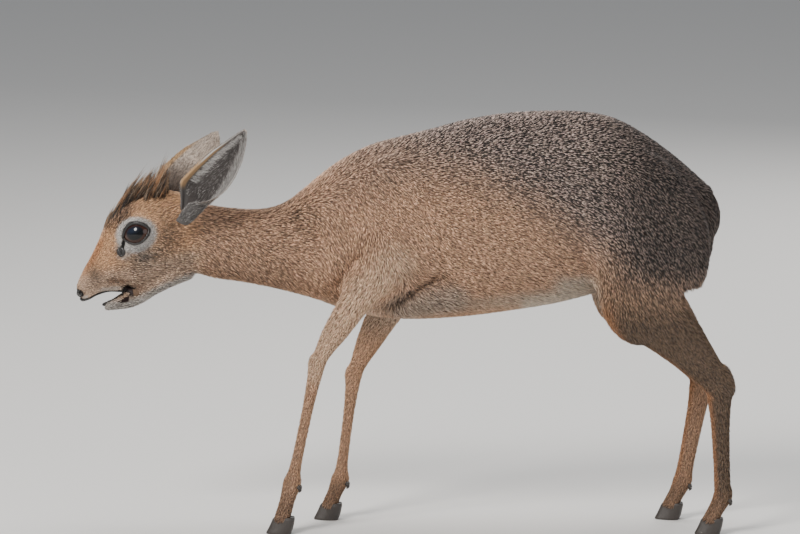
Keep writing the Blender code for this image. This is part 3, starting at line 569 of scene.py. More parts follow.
def eye_place(points):
    """Where points lie in the plane of the nearer eye: forward, up and out of the centre of the ball."""
    place = np.empty((len(points), 3))
    for sign in SIDES.values():
        own = points[:, 1] * sign > 0
        centre, axis, up, forward = eye_axes(sign)
        offset = points[own] - centre
        place[own] = np.stack([offset @ forward, offset @ up, offset @ axis], axis=1)
    return place


def almond(place, grow=0.0):
    """How far points lie from the middle of the almond between the lids: 1 on its edge."""
    x, z = place[:, 0] / (LID_OPENING[0] + grow), place[:, 1] / (LID_OPENING[1] + grow)
    squeeze = 1 - LID_SQUEEZE * np.clip(x, -1, 1) ** 2
    return np.sqrt(x ** 2 + (z / squeeze) ** 2)


def near_lips(points):
    """How near points lie to the rolls of the lips, 1 on them."""
    gaps = [gap_to(points[:, (0, 2)], [row[:3:2] for row in rows]) for rows in (UPPER_LIP, LOWER_LIP)]
    return np.exp(-(np.minimum(*gaps) / 5.0) ** 4) * (points[:, 0] < -228)


def coat_depth(points):
    """How deep the skin lies under the tips of the coat, in millimetres."""
    x, z = points[:, 0], points[:, 2]
    depth = np.full(len(points), 3.2)
    head = ramp(x, -160, -195)
    depth += head * (1.9 - depth)
    muzzle = ramp(x, -232, -262)
    depth += muzzle * (0.9 - depth)
    leg = ramp(z, 205, 165) * (x > BODY_FRONT)
    depth += leg * (1.5 - depth)
    foot = ramp(z, 60, 30) * (x > BODY_FRONT)
    depth += foot * (1.0 - depth)
    tip = ramp(x, -268, -272) * (x < -255)
    return depth * (1 - 0.8 * tip) * (1 - 0.5 * near_lips(points))


def build_skin():
    """Trunk, neck, head, legs and tail as one closed surface, in working millimetres."""
    parts = [profile_tube(TRUNK), profile_tube(SKULL), profile_tube(JAW)]
    tail = [(x, z, 0.0, half * 0.75, half) for x, z, half in TAIL]
    parts.append(path_tube(spline(tail, 4), 16))
    for side, sign in SIDES.items():
        parts.append(path_tube(leg_path(FORE_JOINTS[side], FORE_GIRTHS, sign)))
        parts.append(path_tube(leg_path(HIND_JOINTS[side], HIND_GIRTHS, sign)))
        hock = HIND_JOINTS[side][2]
        heel = (hock[0] + HOCK_BACK, sign * hock[2], hock[1] + HOCK_UP)
        parts.append(ellipsoid(heel, POINT_OF_HOCK, -20.0))
        for x, y, z, length, width, height, tilt in MUSCLES:
            parts.append(ellipsoid((x, sign * y, z), (length, width, height), tilt))
        parts.append(ellipsoid(eye_axes(sign)[0], [EYE_RADIUS + 2.6] * 3))
        root = EARS[side][0]
        parts.append(ellipsoid((root[0], sign * (root[1] - 3.0), root[2]), EAR_BASE))
        parts += [lip_roll(UPPER_LIP, sign), lip_roll(LOWER_LIP, sign)]
    mesh = new_mesh("skin", *joined(parts))
    mesh = evaluated(mesh, [("REMESH", {"mode": "VOXEL", "voxel_size": SKIN_VOXEL})])
    points, edges = points_of(mesh), edges_of(mesh)
    x, z = points[:, 0], points[:, 2]
    points = relaxed(points, edges, np.ones(len(points)), 6)
    elbow = np.exp(-((x + 6) / 46) ** 2 - ((z - 226) / 40) ** 2)
    broad = ramp(z, 170, 220) * ramp(x, -200, -160) * (1 - 0.85 * elbow)
    points = relaxed(points, edges, broad, 150)
    head = ramp(x, -262, -235) * ramp(x, -170, -200) * (1 - near_lips(points))
    points = relaxed(points, edges, head, 14)
    set_points(mesh, points)
    mesh.calc_loop_triangles()
    share = SKIN_TRIANGLES / len(mesh.loop_triangles)
    mesh = evaluated(mesh, [("DECIMATE", {"ratio": min(1.0, share), "use_collapse_triangulate": True})])
    points, triangles = points_of(mesh), triangles_of(mesh)
    normals = point_normals(points, triangles)
    points = points - normals * (coat_depth(points) + fold_depth(points, normals))[:, None]
    return sunk_sockets(points), triangles


def gap_to(points, path):
    """How far points of a flat view lie from a path."""
    nearest = np.full(len(points), np.inf)
    for start, stop in zip(path[:-1], path[1:]):
        step = np.subtract(stop, start)
        offset = points - start
        t = np.clip(offset @ step / step.dot(step), 0.0, 1.0)
        nearest = np.minimum(nearest, np.linalg.norm(offset - t[:, None] * step, axis=1))
    return nearest


def fold_depth(points, normals):
    """How deep the folds of the skin press in."""
    flat = points[:, (0, 2)]
    total = np.zeros(len(points))
    for side, sign in SIDES.items():
        outer = ramp(normals[:, 1] * sign, 0.15, 0.5)
        for depth, width, leg, path in FOLDS:
            path = np.array(path)
            if leg:
                table = FORE_JOINTS if leg == "fore" else HIND_JOINTS
                path = path + np.array(table[side][0][:2]) - np.array(table["left"][0][:2])
            ends = np.minimum(*(np.linalg.norm(flat - end, axis=1) for end in path[(0, -1), :]))
            fade = ramp(ends, 0.0, 2.5 * width)
            total += depth * outer * np.exp(-(gap_to(flat, path) / width) ** 2) * fade
    return total


def sunk_sockets(points):
    """Pushes the skin between the lids back behind the eyeball."""
    place = eye_place(points)
    reach = almond(place, -0.4)
    inside = (reach < 1.0) & (place[:, 2] > 0)
    for sign in SIDES.values():
        centre, axis, up, forward = eye_axes(sign)
        own = inside & (points[:, 1] * sign > 0)
        local = place[own]
        local[:, 2] = np.minimum(local[:, 2], EYE_RADIUS * (0.25 + 0.35 * reach[own] ** 4))
        points[own] = centre + local[:, :1] * forward + local[:, 1:2] * up + local[:, 2:] * axis
    return points


def mouth_lining(points, normals):
    """Where the skin lines the open mouth: the roof and the floor between the lips."""
    x, side, z = points[:, 0], np.abs(points[:, 1]), points[:, 2]
    roof_half = np.interp(x, [-273, -263, -250, -238], [4.6, 8.0, 10.0, 11.6])
    floor_half = np.interp(x, [-254, -247, -239, -233], [2.2, 4.8, 7.4, 10.4])
    roof = (x > -274) & (x < -233) & (z < 213) & (z > 197) & (normals[:, 2] < -0.25) & (side < roof_half)
    floor = (x > -255) & (x < -231) & (z < 209) & (normals[:, 2] > 0.2) & (side < floor_half)
    floor &= z > np.interp(x, *zip(*(row[:3:2] for row in LOWER_LIP))) - 2.0
    return roof | floor


def gland_place(points):
    """How far points lie from the black gland before the eye and from its line, 1 on the edge."""
    flat = eye_place(points)[:, :2]
    spot = np.linalg.norm(flat - GLAND, axis=1) / GLAND_HALF_SIZE
    return np.minimum(spot, gap_to(flat, TEAR_LINE) / TEAR_HALF_WIDTH)


def markings(points, normals):
    """The colour of the coat, with some painted light and shade, and the strength of its dark ticking at
    points on the skin.
    """
    x, y, z = points.T
    flat = points[:, (0, 2)]
    side = np.abs(y)
    outward = normals[:, 1] * np.sign(y)
    colour = np.tile(TAWNY, (len(points), 1))
    tick = np.full(len(points), 0.55)

    def lay(mask, shade, ticking):
        colour[:] += mask[:, None] * (shade - colour)
        tick[:] += mask * (ticking - tick)

    def spot(centre_x, centre_z, half_x, half_z):
        return np.exp(-((x - centre_x) / half_x) ** 2 - ((z - centre_z) / half_z) ** 2)

    body = x > BODY_FRONT
    grizzle_line = np.interp(x, [-150, -100, 0, 60, 120, 160, 200, 250],
                             [278, 288, 326, 318, 292, 262, 240, 225])
    lay(ramp(z, grizzle_line - 40, grizzle_line + 26) * ramp(x, -130, 30), GRIZZLE, 1.0)
    # Rump: its dark ticked coat with painted shade
    lay(ramp(x, 150, 215) * ramp(z, 200, 240), RUMP_COAT_AND_SHADE, 1.0)
    # Dark band at the nape and along the hollow before the shoulder: partly dark ticked coat, partly painted
    # shade in the hollow
    nape_coat_and_shade = np.exp(-((x + 92) / 26) ** 2 - ((z - 276 + 0.35 * (x + 92)) / 14) ** 2)
    lay(0.6 * nape_coat_and_shade, TAWNY * 0.45, 1.0)
    lay(0.45 * ramp(z, 262, 280) * ramp(x, -178, -160) * ramp(x, -80, -110), TAWNY * 0.5, 1.0)
    belly_line = np.interp(x, [-90, -40, 60, 130, 190], [203, 196, 203, 212, 224])
    lay(ramp(z, belly_line + 10, belly_line - 8) * ramp(x, -85, -60) * ramp(x, 170, 150), BUFF, 0.2)
    leg = ramp(z, 215, 185) * body
    lay(leg * (x < 100), LEG_TAN, 0.35)
    lay(ramp(z, 250, 180) * (x >= 150) * ramp(z, 252, 240), HIND_TAN, 0.75)
    lay(ramp(outward, 0.1, -0.3) * ramp(z, 170, 150) * (x >= 150), LEG_TAN * 0.75, 0.4)
    for name, sign in SIDES.items():
        (ax, az, _), (bx, bz, _) = FORE_JOINTS[name][:2]
        own = ramp(outward, 0.0, 0.4) * (y * sign > 0)
        behind = np.exp(-(gap_to(flat, [(ax + 46, az - 44), (ax + 6, az - 54)]) / 14) ** 4)
        lay(0.75 * behind * own, BELLY_GREY, 0.5)
        # Painted light: the forearm's own tan painted brighter
        forearm = np.exp(-(gap_to(flat, [(ax - 4, az - 12), (bx, bz)]) / 18) ** 4)
        lay(forearm * own, FOREARM_TAN_AND_LIGHT, 0.35)
        # Painted shade under the rear edge of the forearm
        under_forearm_shade = [(ax + 40, az - 24), (ax + 14, az - 39), (ax - 6, az - 52)]
        shade = np.exp(-(gap_to(flat, under_forearm_shade) / 5.5) ** 2)
        lay(0.7 * shade * own, TAWNY * 0.3, 0.7)
    front_edge = ramp(normals[:, 0], -0.3, -0.8) * ramp(z, 215, 190) * (x > 100)
    lay(0.8 * front_edge, TAWNY_DEEP, 0.3)
    lay(ramp(x, 178, 150) * ramp(x, 120, 140) * ramp(z, 232, 218) * ramp(z, 175, 195), BUFF, 0.15)
    inner = ramp(outward, -0.2, -0.7) * ramp(z, 150, 190) * ramp(z, 225, 200) * (side > 8) * body
    lay(0.7 * inner, BUFF, 0.2)
    lay(ramp(z, 45, 25) * body, LEG_TAN * 0.5, 0.5)
    # Tail: the rump's colour with its painted shade, made darker still
    lay(ramp(side, 9, 5) * ramp(x, 260, 266) * ramp(z, 244, 250), RUMP_COAT_AND_SHADE * 0.8, 0.9)

    head = ramp(x, -165, -185)
    lay(head, TEMPLE, 0.5)
    height = z - (x + 240) * 0.35
    lay(head * ramp(height, 255, 270) * ramp(x, -224, -236), TAWNY * 0.34, 0.95)
    lay(0.7 * np.exp(-(gap_to(flat, [(-252.0, 276.0), (-240.0, 270.5)]) / 3.0) ** 2), TAWNY * 0.3, 0.9)
    lay(ramp(x, -190, -200) * ramp(height, 276, 290) * ramp(side, 15, 9), CREST_BROWN, 0.9)
    bridge = ramp(side, 11, 6) * ramp(x, -225, -240) * ramp(z - (x + 260) * 1.35, 226, 242)
    lay(bridge * ramp(height, 262, 250), TAWNY_DEEP, 0.45)
    lay(0.75 * spot(-201, 257, 12, 17), TAWNY * 0.25, 0.8)
    neck = ramp(x, -188, -165) * ramp(x, -75, -110)
    lay(neck * (0.3 + 0.35 * ramp(z, 245, 222)), TAWNY * 0.5, 0.7)
    lay(head * ramp(z - (x + 240) * 0.28, 236, 222), CHEEK, 0.6)
    lay(0.75 * spot(-263.5, 221, 5.0, 7.5), CHEEK * 0.3, 0.6)
    # Painted shade in the crease above the corner of the mouth
    lay(0.8 * np.exp(-(gap_to(flat, MOUTH_CREASE) / 2.2) ** 2), TAWNY_DEEP * 0.35, 0.6)
    lay(0.7 * spot(-229, 208, 9, 6), MOUTH_CORNER, 0.5)
    jaw_edge = np.interp(x, [-250, -234, -222, -208, -191, -176], [188.5, 190, 194.5, 203, 211, 215.5])
    lay(ramp(x, -168, -185) * ramp(z - jaw_edge, 13, 6) * (x > -257), CHIN, 0.5)
    lip = gap_to(flat, LIP_LINE)
    above = z > np.interp(x, *zip(*LIP_LINE))
    lay(0.8 * ramp(x, -262, -256) * ramp(x, -238, -243) * ramp(lip, 5.0, 3.6) * above, PALE_LIP, 0.4)
    lay(ramp(np.hypot(x + 270.5, z - 200.0), 3.4, 2.4), PALE_LIP * 1.1, 0.2)
    lay(ramp(lip, 2.1, 1.5) * ramp(outward, -0.3, 0.1) * (x < -237) * (z > 196), BLACK, 0.0)
    corner = np.hypot((x + 236) / 7.5, (z - 207) / 6.0)
    lay(ramp(corner, 1.15, 0.9) * ramp(outward, 0.75, 0.55), BLACK, 0.0)
    # Painted shade: the lining of the open mouth painted black
    lay(mouth_lining(points, normals) * 1.0, BLACK, 0.0)
    nose = np.hypot((x + 277.0) / 5.2, (z - 204.4) / 3.9)
    lay(ramp(nose, 1.2, 0.95), BLACK * 1.4, 0.0)
    place = eye_place(points)
    near_eye = (np.abs(place[:, 2]) < 30) & (x < -170)
    pale = np.exp(-((place[:, 0] - 4) / 17) ** 2 - ((place[:, 1] + 19) / 8) ** 2) * near_eye
    lay(0.9 * pale, CHIN * 0.32, 0.85)
    ring = np.hypot((place[:, 0] - 3.2) / 18.8, (place[:, 1] + 0.8) / 14.6)
    dim = 1 - 0.28 * ramp(place[:, 0], -4, -15) - 0.22 * ramp(place[:, 1], -8, -15)
    lay(ramp(ring, 1.1, 0.88) * near_eye, RING * dim[:, None], 0.3)
    around = np.exp(-(gap_to(place[:, :2], TEAR_LINE) / 6.5) ** 4) * near_eye
    lay(0.85 * around, RING * 0.8, 0.3)
    lay(ramp(gland_place(points), 1.2, 0.85) * near_eye, BLACK, 0.0)
    lay(ramp(almond(place), 1.10, 1.0) * near_eye, BLACK, 0.0)
    return colour, tick


# Combing of the coat: place x, distance from the middle, z, direction x, z, and reach
COMBS = [
    (-274, 0, 222, 0.45, 0.90, 14), (-255, 0, 258, 0.55, 0.83, 16), (-238, 0, 284, 0.75, 0.66, 14),
    (-205, 0, 294, 1.0, 0.10, 16), (-262, 10, 216, 0.97, 0.22, 12), (-252, 12, 206, 0.98, -0.05, 9),
    (-228, 20, 224, 1.0, 0.02, 14), (-214, 10, 206, 0.97, 0.24, 14), (-246, 4, 190, 0.98, 0.16, 10),
    (-226, 27, 242, 0.98, -0.12, 10), (-243, 20, 252, 0.75, 0.62, 9), (-228, 26, 277, 0.80, 0.60, 10),
    (-205, 25, 274, 0.95, 0.25, 12), (-199, 26, 255, 1.0, -0.10, 12), (-200, 22, 232, 0.97, -0.18, 14),
    (-172, 8, 222, 1.0, -0.12, 16), (-150, 18, 272, 0.97, -0.20, 16), (-137, 22, 237, 0.78, -0.62, 20),
    (-160, 20, 232, 0.75, -0.66, 14),
    (-95, 30, 254, 0.96, -0.25, 22), (-80, 8, 200, 0.85, -0.50, 20), (-105, 0, 286, 1.0, 0.15, 18),
    (-60, 0, 316, 0.93, 0.30, 22), (0, 10, 342, 1.0, 0.05, 26), (-14, 44, 298, 0.75, -0.66, 24),
    (-30, 50, 252, 0.25, -0.97, 18), (16, 55, 258, 0.70, -0.72, 18), (-50, 40, 262, 0.70, -0.72, 20),
    (70, 60, 290, 0.95, -0.32, 34), (60, 55, 225, 0.97, -0.25, 26), (140, 58, 260, 0.90, -0.45, 34),
    (80, 0, 186, 1.0, 0.0, 26), (100, 0, 362, 1.0, -0.03, 34), (180, 0, 358, 0.97, -0.25, 26),
    (225, 15, 332, 0.85, -0.53, 24), (215, 58, 270, 0.60, -0.80, 28), (190, 55, 210, 0.42, -0.90, 20),
    (250, 50, 230, 0.45, -0.90, 20), (270, 10, 270, 0.25, -0.97, 16), (284, 0, 262, 0.0, -1.0, 10),
]


def leg_combs():
    """Combs down the bones of the legs, with the side that each lies on."""
    rows = []
    for table, first in ((FORE_JOINTS, 0), (HIND_JOINTS, 1)):
        for side, sign in SIDES.items():
            joints = table[side]
            for bone in range(first, len(joints) - 1):
                (ax, az, ay), (bx, bz, by) = joints[bone], joints[bone + 1]
                way = unit(np.array((bx - ax, bz - az)))
                for t in (0.3, 0.6, 0.9):
                    rows.append((ax + (bx - ax) * t, sign * (ay + (by - ay) * t), az + (bz - az) * t,
                                 way[0], way[1], 15.0))
    return rows


def on_tail(points):
    """Which points lie on the tail."""
    return (points[:, 0] > 265) & (np.abs(points[:, 1]) < 8.5) & (points[:, 2] > 248)


def lie_of_coat(points, normals):
    """The way the hair lies at points on the skin, along the skin."""
    rows = []
    for x, y, z, dx, dz, reach in COMBS:
        for sign in ((1,) if y == 0 else (-1, 1)):
            rows.append((x, sign * y, z, dx, dz, reach))
    rows += leg_combs()
    way = np.zeros_like(points)
    for x, y, z, dx, dz, reach in rows:
        gap = ((points - (x, y, z)) ** 2).sum(axis=1)
        weight = 1.0 / (1.0 + gap / reach ** 2) ** 3
        way[:, 0] += weight * dx
        way[:, 2] += weight * dz
    way = unit(way)
    way[on_tail(points)] = (0.06, 0.0, -1.0)
    way -= normals * (way * normals).sum(axis=1, keepdims=True)
    return unit(way)


def spatial_order(places, cell=1.5):
    """An order of places in which neighbours in the list are neighbours in space."""
    grid = ((places - places.min(axis=0)) / cell).astype(np.int64)
    woven = np.zeros(len(grid), np.int64)
    for bit in range(10):
        for axis in range(3):
            woven += ((grid[:, axis] >> bit) & 1) << (3 * bit + axis)
    return np.argsort(woven)


def scattered(rng, share, count):
    """Places spread over the triangles by their share: the triangles and the weights within them."""
    total = np.cumsum(share)
    picks = (np.arange(count) + rng.random(count)) / count * total[-1]
    chosen = np.minimum(np.searchsorted(total, picks), len(share) - 1)
    r1, r2 = np.sqrt(rng.random(count)), rng.random(count)
    weights = np.stack([1 - r1, r1 * (1 - r2), r1 * r2], axis=1)
    return chosen, weights


def mixed(values, triangles, chosen, weights):
    """Values of the points carried to places in the triangles."""
    corners = values[triangles[chosen]]
    if values.ndim == 1:
        return (corners * weights).sum(axis=1)
    return (corners * weights[:, :, None]).sum(axis=1)


def unwrap(points):
    """A flat map of the skin: along the body and round it, with the legs in their own strips."""
    x, y, z = points[:, 0], points[:, 1], points[:, 2]
    u = np.empty(len(points))
    v = np.empty(len(points))
    spine_x = [-280, -240, -190, -140, -90, 0, 90, 180, 275]
    spine_z = [205, 232, 258, 248, 248, 262, 275, 282, 262]
    middle = np.interp(x, spine_x, spine_z)
    trunk = (z > LEG_TOP) | (x < BODY_FRONT)
    u[trunk] = (x[trunk] + 285) / 580
    v[trunk] = 0.30 + 0.69 * (np.arctan2(y[trunk], middle[trunk] - z[trunk]) / (2 * math.pi) + 0.5)
    slot = 0
    for table in (FORE_JOINTS, HIND_JOINTS):
        for side, sign in SIDES.items():
            joints = np.array(table[side])
            own = ~trunk & (y * sign > 0) & ((x < 100) == (table is FORE_JOINTS))
            order = joints[::-1]
            centre_x = np.interp(z[own], order[:, 1], order[:, 0])
            centre_y = sign * np.interp(z[own], order[:, 1], order[:, 2])
            angle = np.arctan2(y[own] - centre_y, x[own] - centre_x) / (2 * math.pi) + 0.5
            u[own] = (slot + 0.02 + 0.96 * angle) / 4
            v[own] = 0.005 + 0.28 * z[own] / 180
            slot += 1
    return np.stack([u, v], axis=1)


# Side of the patch of the map that each hair gets
PATCH = 0.003


def spread_patches(mesh, triangles, place, corners):
    """Gives each hair a small patch of the map at its root's place, the map filling the whole square."""
    low, high = place.min(axis=0), place.max(axis=0)
    place = (place - low) / np.maximum(high - low, 1e-6) * (1 - 2 * PATCH) + PATCH / 2
    spots = (place[:, None, :] + corners[None] * PATCH).reshape(-1, 2)
    layer = mesh.uv_layers.new(name="OFBake")
    layer.data.foreach_set("uv", spots[triangles.ravel()].astype(np.float32).ravel())


def speckled(rng, chance, tint, tick):
    """Colours of single tufts: some dark and some pale, and the more so the more the coat is ticked."""
    shade = tint * rng.uniform(0.75, 1.1, len(tint))[:, None]
    dark = tint * (0.60 - 0.48 * tick ** 2)[:, None]
    pale = tint * (1.25 + 0.75 * tick ** 2)[:, None]
    shade = np.where((chance < 0.12 + 0.36 * tick)[:, None], dark, shade)
    return np.where((chance > 0.88 - 0.24 * tick)[:, None], pale, shade)


def hair_attributes(mesh, per, tint, along):
    """Stores the colour of each hair and the place along it at every point."""
    set_attribute(mesh, "tint", np.repeat(np.clip(tint, 0.0, 1.0), per, axis=0))
    set_attribute(mesh, "along", np.tile(along, len(tint)))


def tuft_mesh(name, root, middle, tip, normal, width, tint, place):
    """Closed six-sided tufts: a root under the skin, three points round the middle and a tip."""
    count = len(root)
    across = unit(np.cross(normal, tip - root))
    half = (width / 2)[:, None]
    verts = np.empty((count, 5, 3))
    verts[:, 0] = root
    verts[:, 1] = middle + across * half - normal * half * 0.25
    verts[:, 2] = middle - across * half - normal * half * 0.25
    verts[:, 3] = middle + normal * half * 0.6
    verts[:, 4] = tip
    pattern = np.array([(0, 2, 1), (0, 1, 3), (0, 3, 2), (4, 1, 2), (4, 3, 1), (4, 2, 3)])
    triangles = (np.arange(count)[:, None, None] * 5 + pattern[None]).reshape(-1, 3)
    mesh = triangle_mesh(name, to_frame(verts.reshape(-1, 3)), triangles)
    hair_attributes(mesh, 5, tint, (0.0, 0.45, 0.45, 0.45, 1.0))
    corners = np.array([(0.0, 0.5), (0.5, 1.0), (0.5, 0.0), (0.5, 0.5), (1.0, 0.5)])
    spread_patches(mesh, triangles, place, corners)
    return mesh


def bezier(root, control, tip, steps):
    """Paths bent from their roots towards a control point and on to their tips."""
    t = np.linspace(0.0, 1.0, steps)[None, :, None]
    return root[:, None] * (1 - t) ** 2 + 2 * control[:, None] * t * (1 - t) + tip[:, None] * t ** 2


def blade_mesh(name, paths, normal, width, tint, place):
    """Closed long hairs: paths of points, drawn out to three sides that taper to a tip."""
    count, steps = paths.shape[:2]
    along = unit(paths[:, -1] - paths[:, 0])
    across = unit(np.cross(normal, along))
    facing = np.cross(along, across)
    taper = np.array([0.7, 1.0, 0.85, 0.6, 0.35, 0.12])
    sides = np.interp(np.linspace(0, 1, steps - 1), np.linspace(0, 1, len(taper)), taper)
    ring = 3 * (steps - 1)
    verts = np.empty((count, ring + 1, 3))
    for k in range(steps - 1):
        half = (width / 2 * sides[k])[:, None]
        verts[:, 3 * k] = paths[:, k] + across * half
        verts[:, 3 * k + 1] = paths[:, k] - across * half
        verts[:, 3 * k + 2] = paths[:, k] + facing * half * 0.6
    verts[:, ring] = paths[:, -1]
    pattern = [(0, 1, 2)]
    for k in range(steps - 2):
        for m in range(3):
            n = (m + 1) % 3
            pattern.append((3 * k + m, 3 * k + 3 + m, 3 * k + n))
            pattern.append((3 * k + n, 3 * k + 3 + m, 3 * k + 3 + n))
    for m in range(3):
        pattern.append((ring - 3 + m, ring, ring - 3 + (m + 1) % 3))
    pattern = np.array(pattern)
    triangles = (np.arange(count)[:, None, None] * (ring + 1) + pattern[None]).reshape(-1, 3)
    mesh = triangle_mesh(name, to_frame(verts.reshape(-1, 3)), triangles)
    levels = np.append(np.repeat(np.linspace(0, 1, steps)[:-1], 3), 1.0)
    hair_attributes(mesh, ring + 1, tint, levels)
    sides = np.append(np.tile((0.0, 1.0, 0.5), steps - 1), 0.5)
    spread_patches(mesh, triangles, place, np.stack([levels, sides], axis=1))
    return mesh


def gathered(root, tip, length):
    """Draws the tips of neighbouring tufts together."""
    leaders = range(0, len(root), CROWD)
    tree = KDTree(len(leaders))
    for number in leaders:
        tree.insert(root[number], number)
    tree.balance()
    draw = tip[[tree.find(spot)[1] for spot in root]] - tip
    reach = np.maximum(np.linalg.norm(draw, axis=1, keepdims=True), 1e-6)
    return tip + draw * CROWD_PULL * np.minimum(1.0, 0.5 * length[:, None] / reach)


def new_material(name):
    """An empty node material and its shader."""
    material = bpy.data.materials.new(name)
    material.use_nodes = True
    return material, material.node_tree, material.node_tree.nodes["Principled BSDF"]


def node(tree, kind, **settings):
    """Adds a shader node and sets its properties."""
    made = tree.nodes.new(kind)
    for key, value in settings.items():
        setattr(made, key, value)
    return made


def mix_colour(tree, first, second):
    """One colour times another, each a socket or a value."""
    made = node(tree, "ShaderNodeMix", data_type="RGBA", blend_type="MULTIPLY")
    for socket, value in ((made.inputs[0], 1.0), (made.inputs[6], first), (made.inputs[7], second)):
        if isinstance(value, bpy.types.NodeSocket):
            tree.links.new(value, socket)
        else:
            socket.default_value = value
    return made.outputs[2]


def colour_ramp(tree, source, stops):
    """A grey ramp: places and values."""
    made = node(tree, "ShaderNodeValToRGB")
    tree.links.new(source, made.inputs[0])
    elements = made.color_ramp.elements
    while len(elements) < len(stops):
        elements.new(0.5)
    for element, (place, value) in zip(elements, stops):
        element.position = place
        element.color = (value, value, value, 1.0)
    return made.outputs[0]


def set_inputs(made, values):
    """Sets constants straight on a node's sockets."""
    for name, value in values.items():
        made.inputs[name].default_value = value


def add_bump(tree, shader, height, strength, distance):
    """Gives a shader a fine bump of so many metres."""
    bump = node(tree, "ShaderNodeBump")
    set_inputs(bump, {"Strength": strength, "Distance": distance})
    tree.links.new(height, bump.inputs["Height"])
    tree.links.new(bump.outputs["Normal"], shader.inputs["Normal"])


def tint_of(tree):
    """The colour stored on the mesh."""
    return node(tree, "ShaderNodeAttribute", attribute_name="tint").outputs["Color"]


def hair_material(name):
    """Hair: its own colour over a dark root."""
    material, tree, shader = new_material(name)
    along = node(tree, "ShaderNodeAttribute", attribute_name="along").outputs["Fac"]
    shade = colour_ramp(tree, along, [(0.0, 0.25), (0.5, 0.9), (1.0, 1.1)])
    tree.links.new(mix_colour(tree, tint_of(tree), shade), shader.inputs["Base Color"])
    set_inputs(shader, {"Roughness": 0.62, "Specular IOR Level": 0.28, "Sheen Weight": 0.12,
                        "Sheen Roughness": 0.5})
    return material


def skin_material(name):
    """Skin under the coat: the same markings, darker, with a fine hair-like bump."""
    material, tree, shader = new_material(name)
    noise = node(tree, "ShaderNodeTexNoise")
    set_inputs(noise, {"Scale": 900.0, "Detail": 3.0})
    shade = colour_ramp(tree, noise.outputs["Fac"], [(0.3, 0.45), (0.7, 0.8)])
    tree.links.new(mix_colour(tree, tint_of(tree), shade), shader.inputs["Base Color"])
    add_bump(tree, shader, noise.outputs["Fac"], 0.35, 0.0006)
    set_inputs(shader, {"Roughness": 0.8, "Specular IOR Level": 0.2})
    return material


def bare_material(name, colour, roughness, scale, strength, coat=0.0):
    """Bare moist skin or horn with a fine pebbled bump."""
    material, tree, shader = new_material(name)
    cells = node(tree, "ShaderNodeTexVoronoi")
    set_inputs(cells, {"Scale": scale})
    shade = colour_ramp(tree, cells.outputs["Distance"], [(0.0, 1.25), (0.8, 0.7)])
    tree.links.new(mix_colour(tree, (*colour, 1.0), shade), shader.inputs["Base Color"])
    add_bump(tree, shader, cells.outputs["Distance"], strength, 0.0003)
    set_inputs(shader, {"Roughness": roughness, "Coat Weight": coat, "Coat Roughness": 0.15})
    return material


def eye_material(name):
    """A wet dark eye under a clear glossy layer."""
    material, tree, shader = new_material(name)
    tree.links.new(tint_of(tree), shader.inputs["Base Color"])
    set_inputs(shader, {"Roughness": 0.3, "Specular IOR Level": 0.05, "Coat Weight": 1.0,
                        "Coat Roughness": 0.02, "Coat IOR": 1.38})
    return material


def make_camera():
    """The photograph's view: from the animal's left side and a little above, through a long lens."""
    rise = math.radians(CAMERA_RISE)
    x = (PHOTO_SIZE[0] / 2 - PIXEL_OF_X0) * PIXEL
    z = (PIXEL_OF_Z0 - PHOTO_SIZE[1] / 2) * PIXEL / math.cos(rise)
    target = to_frame((x, 0.0, z))
    distance = CAMERA_DISTANCE * MM
    data = bpy.data.cameras.new("camera")
    camera = bpy.data.objects.new("camera", data)
    bpy.context.scene.collection.objects.link(camera)
    camera.location = target + distance * np.array((0.0, -math.cos(rise), math.sin(rise)))
    camera.rotation_euler = (math.pi / 2 - rise, 0.0, 0.0)
    data.sensor_width = SENSOR_WIDTH
    data.lens = SENSOR_WIDTH * CAMERA_DISTANCE / (PHOTO_SIZE[0] * PIXEL)
    data.clip_start = 0.05
    bpy.context.scene.camera = camera


def make_studio():
    """A pale floor, a soft key light from the front left, a fill, and a light from above and behind."""
    mesh = bpy.data.meshes.new("floor")
    corners = FLOOR_HALF_SIZE * np.array([(-1, -1, 0), (1, -1, 0), (1, 1, 0), (-1, 1, 0)])
    mesh.from_pydata(corners.tolist(), [], [(0, 1, 2, 3)])
    floor = bpy.data.objects.new("floor", mesh)
    bpy.context.scene.collection.objects.link(floor)
    material, _, shader = new_material("floor")
    set_inputs(shader, {"Base Color": (0.72, 0.71, 0.69, 1.0), "Roughness": 0.9})
    mesh.materials.append(material)
    lights = (
        ("key", (-1.3, -1.9, 1.9), 1.0, 84.0, (1.0, 0.965, 0.92)),
        ("fill", (1.8, -1.8, 1.0), 1.6, 11.0, (0.92, 0.96, 1.0)),
        ("top", (0.2, 0.6, 2.4), 1.6, 40.0, (1.0, 0.99, 0.97)),
        ("back", (1.0, 2.2, 1.3), 1.2, 18.0, (1.0, 0.97, 0.94)),
    )
    aim = Vector((0.0, 0.0, 0.2))
    for name, place, width, power, colour in lights:
        data = bpy.data.lights.new(name, "AREA")
        data.shape = "DISK"
        data.size = width
        data.energy = power
        data.color = colour
        lamp = bpy.data.objects.new(name, data)
        lamp.location = place
        lamp.rotation_euler = (aim - Vector(place)).to_track_quat("-Z", "Y").to_euler()
        bpy.context.scene.collection.objects.link(lamp)
    world = bpy.data.worlds.new("studio")
    world.use_nodes = True
    set_inputs(world.node_tree.nodes["Background"], {"Color": (0.86, 0.89, 0.94, 1.0), "Strength": 0.36})
    bpy.context.scene.world = world


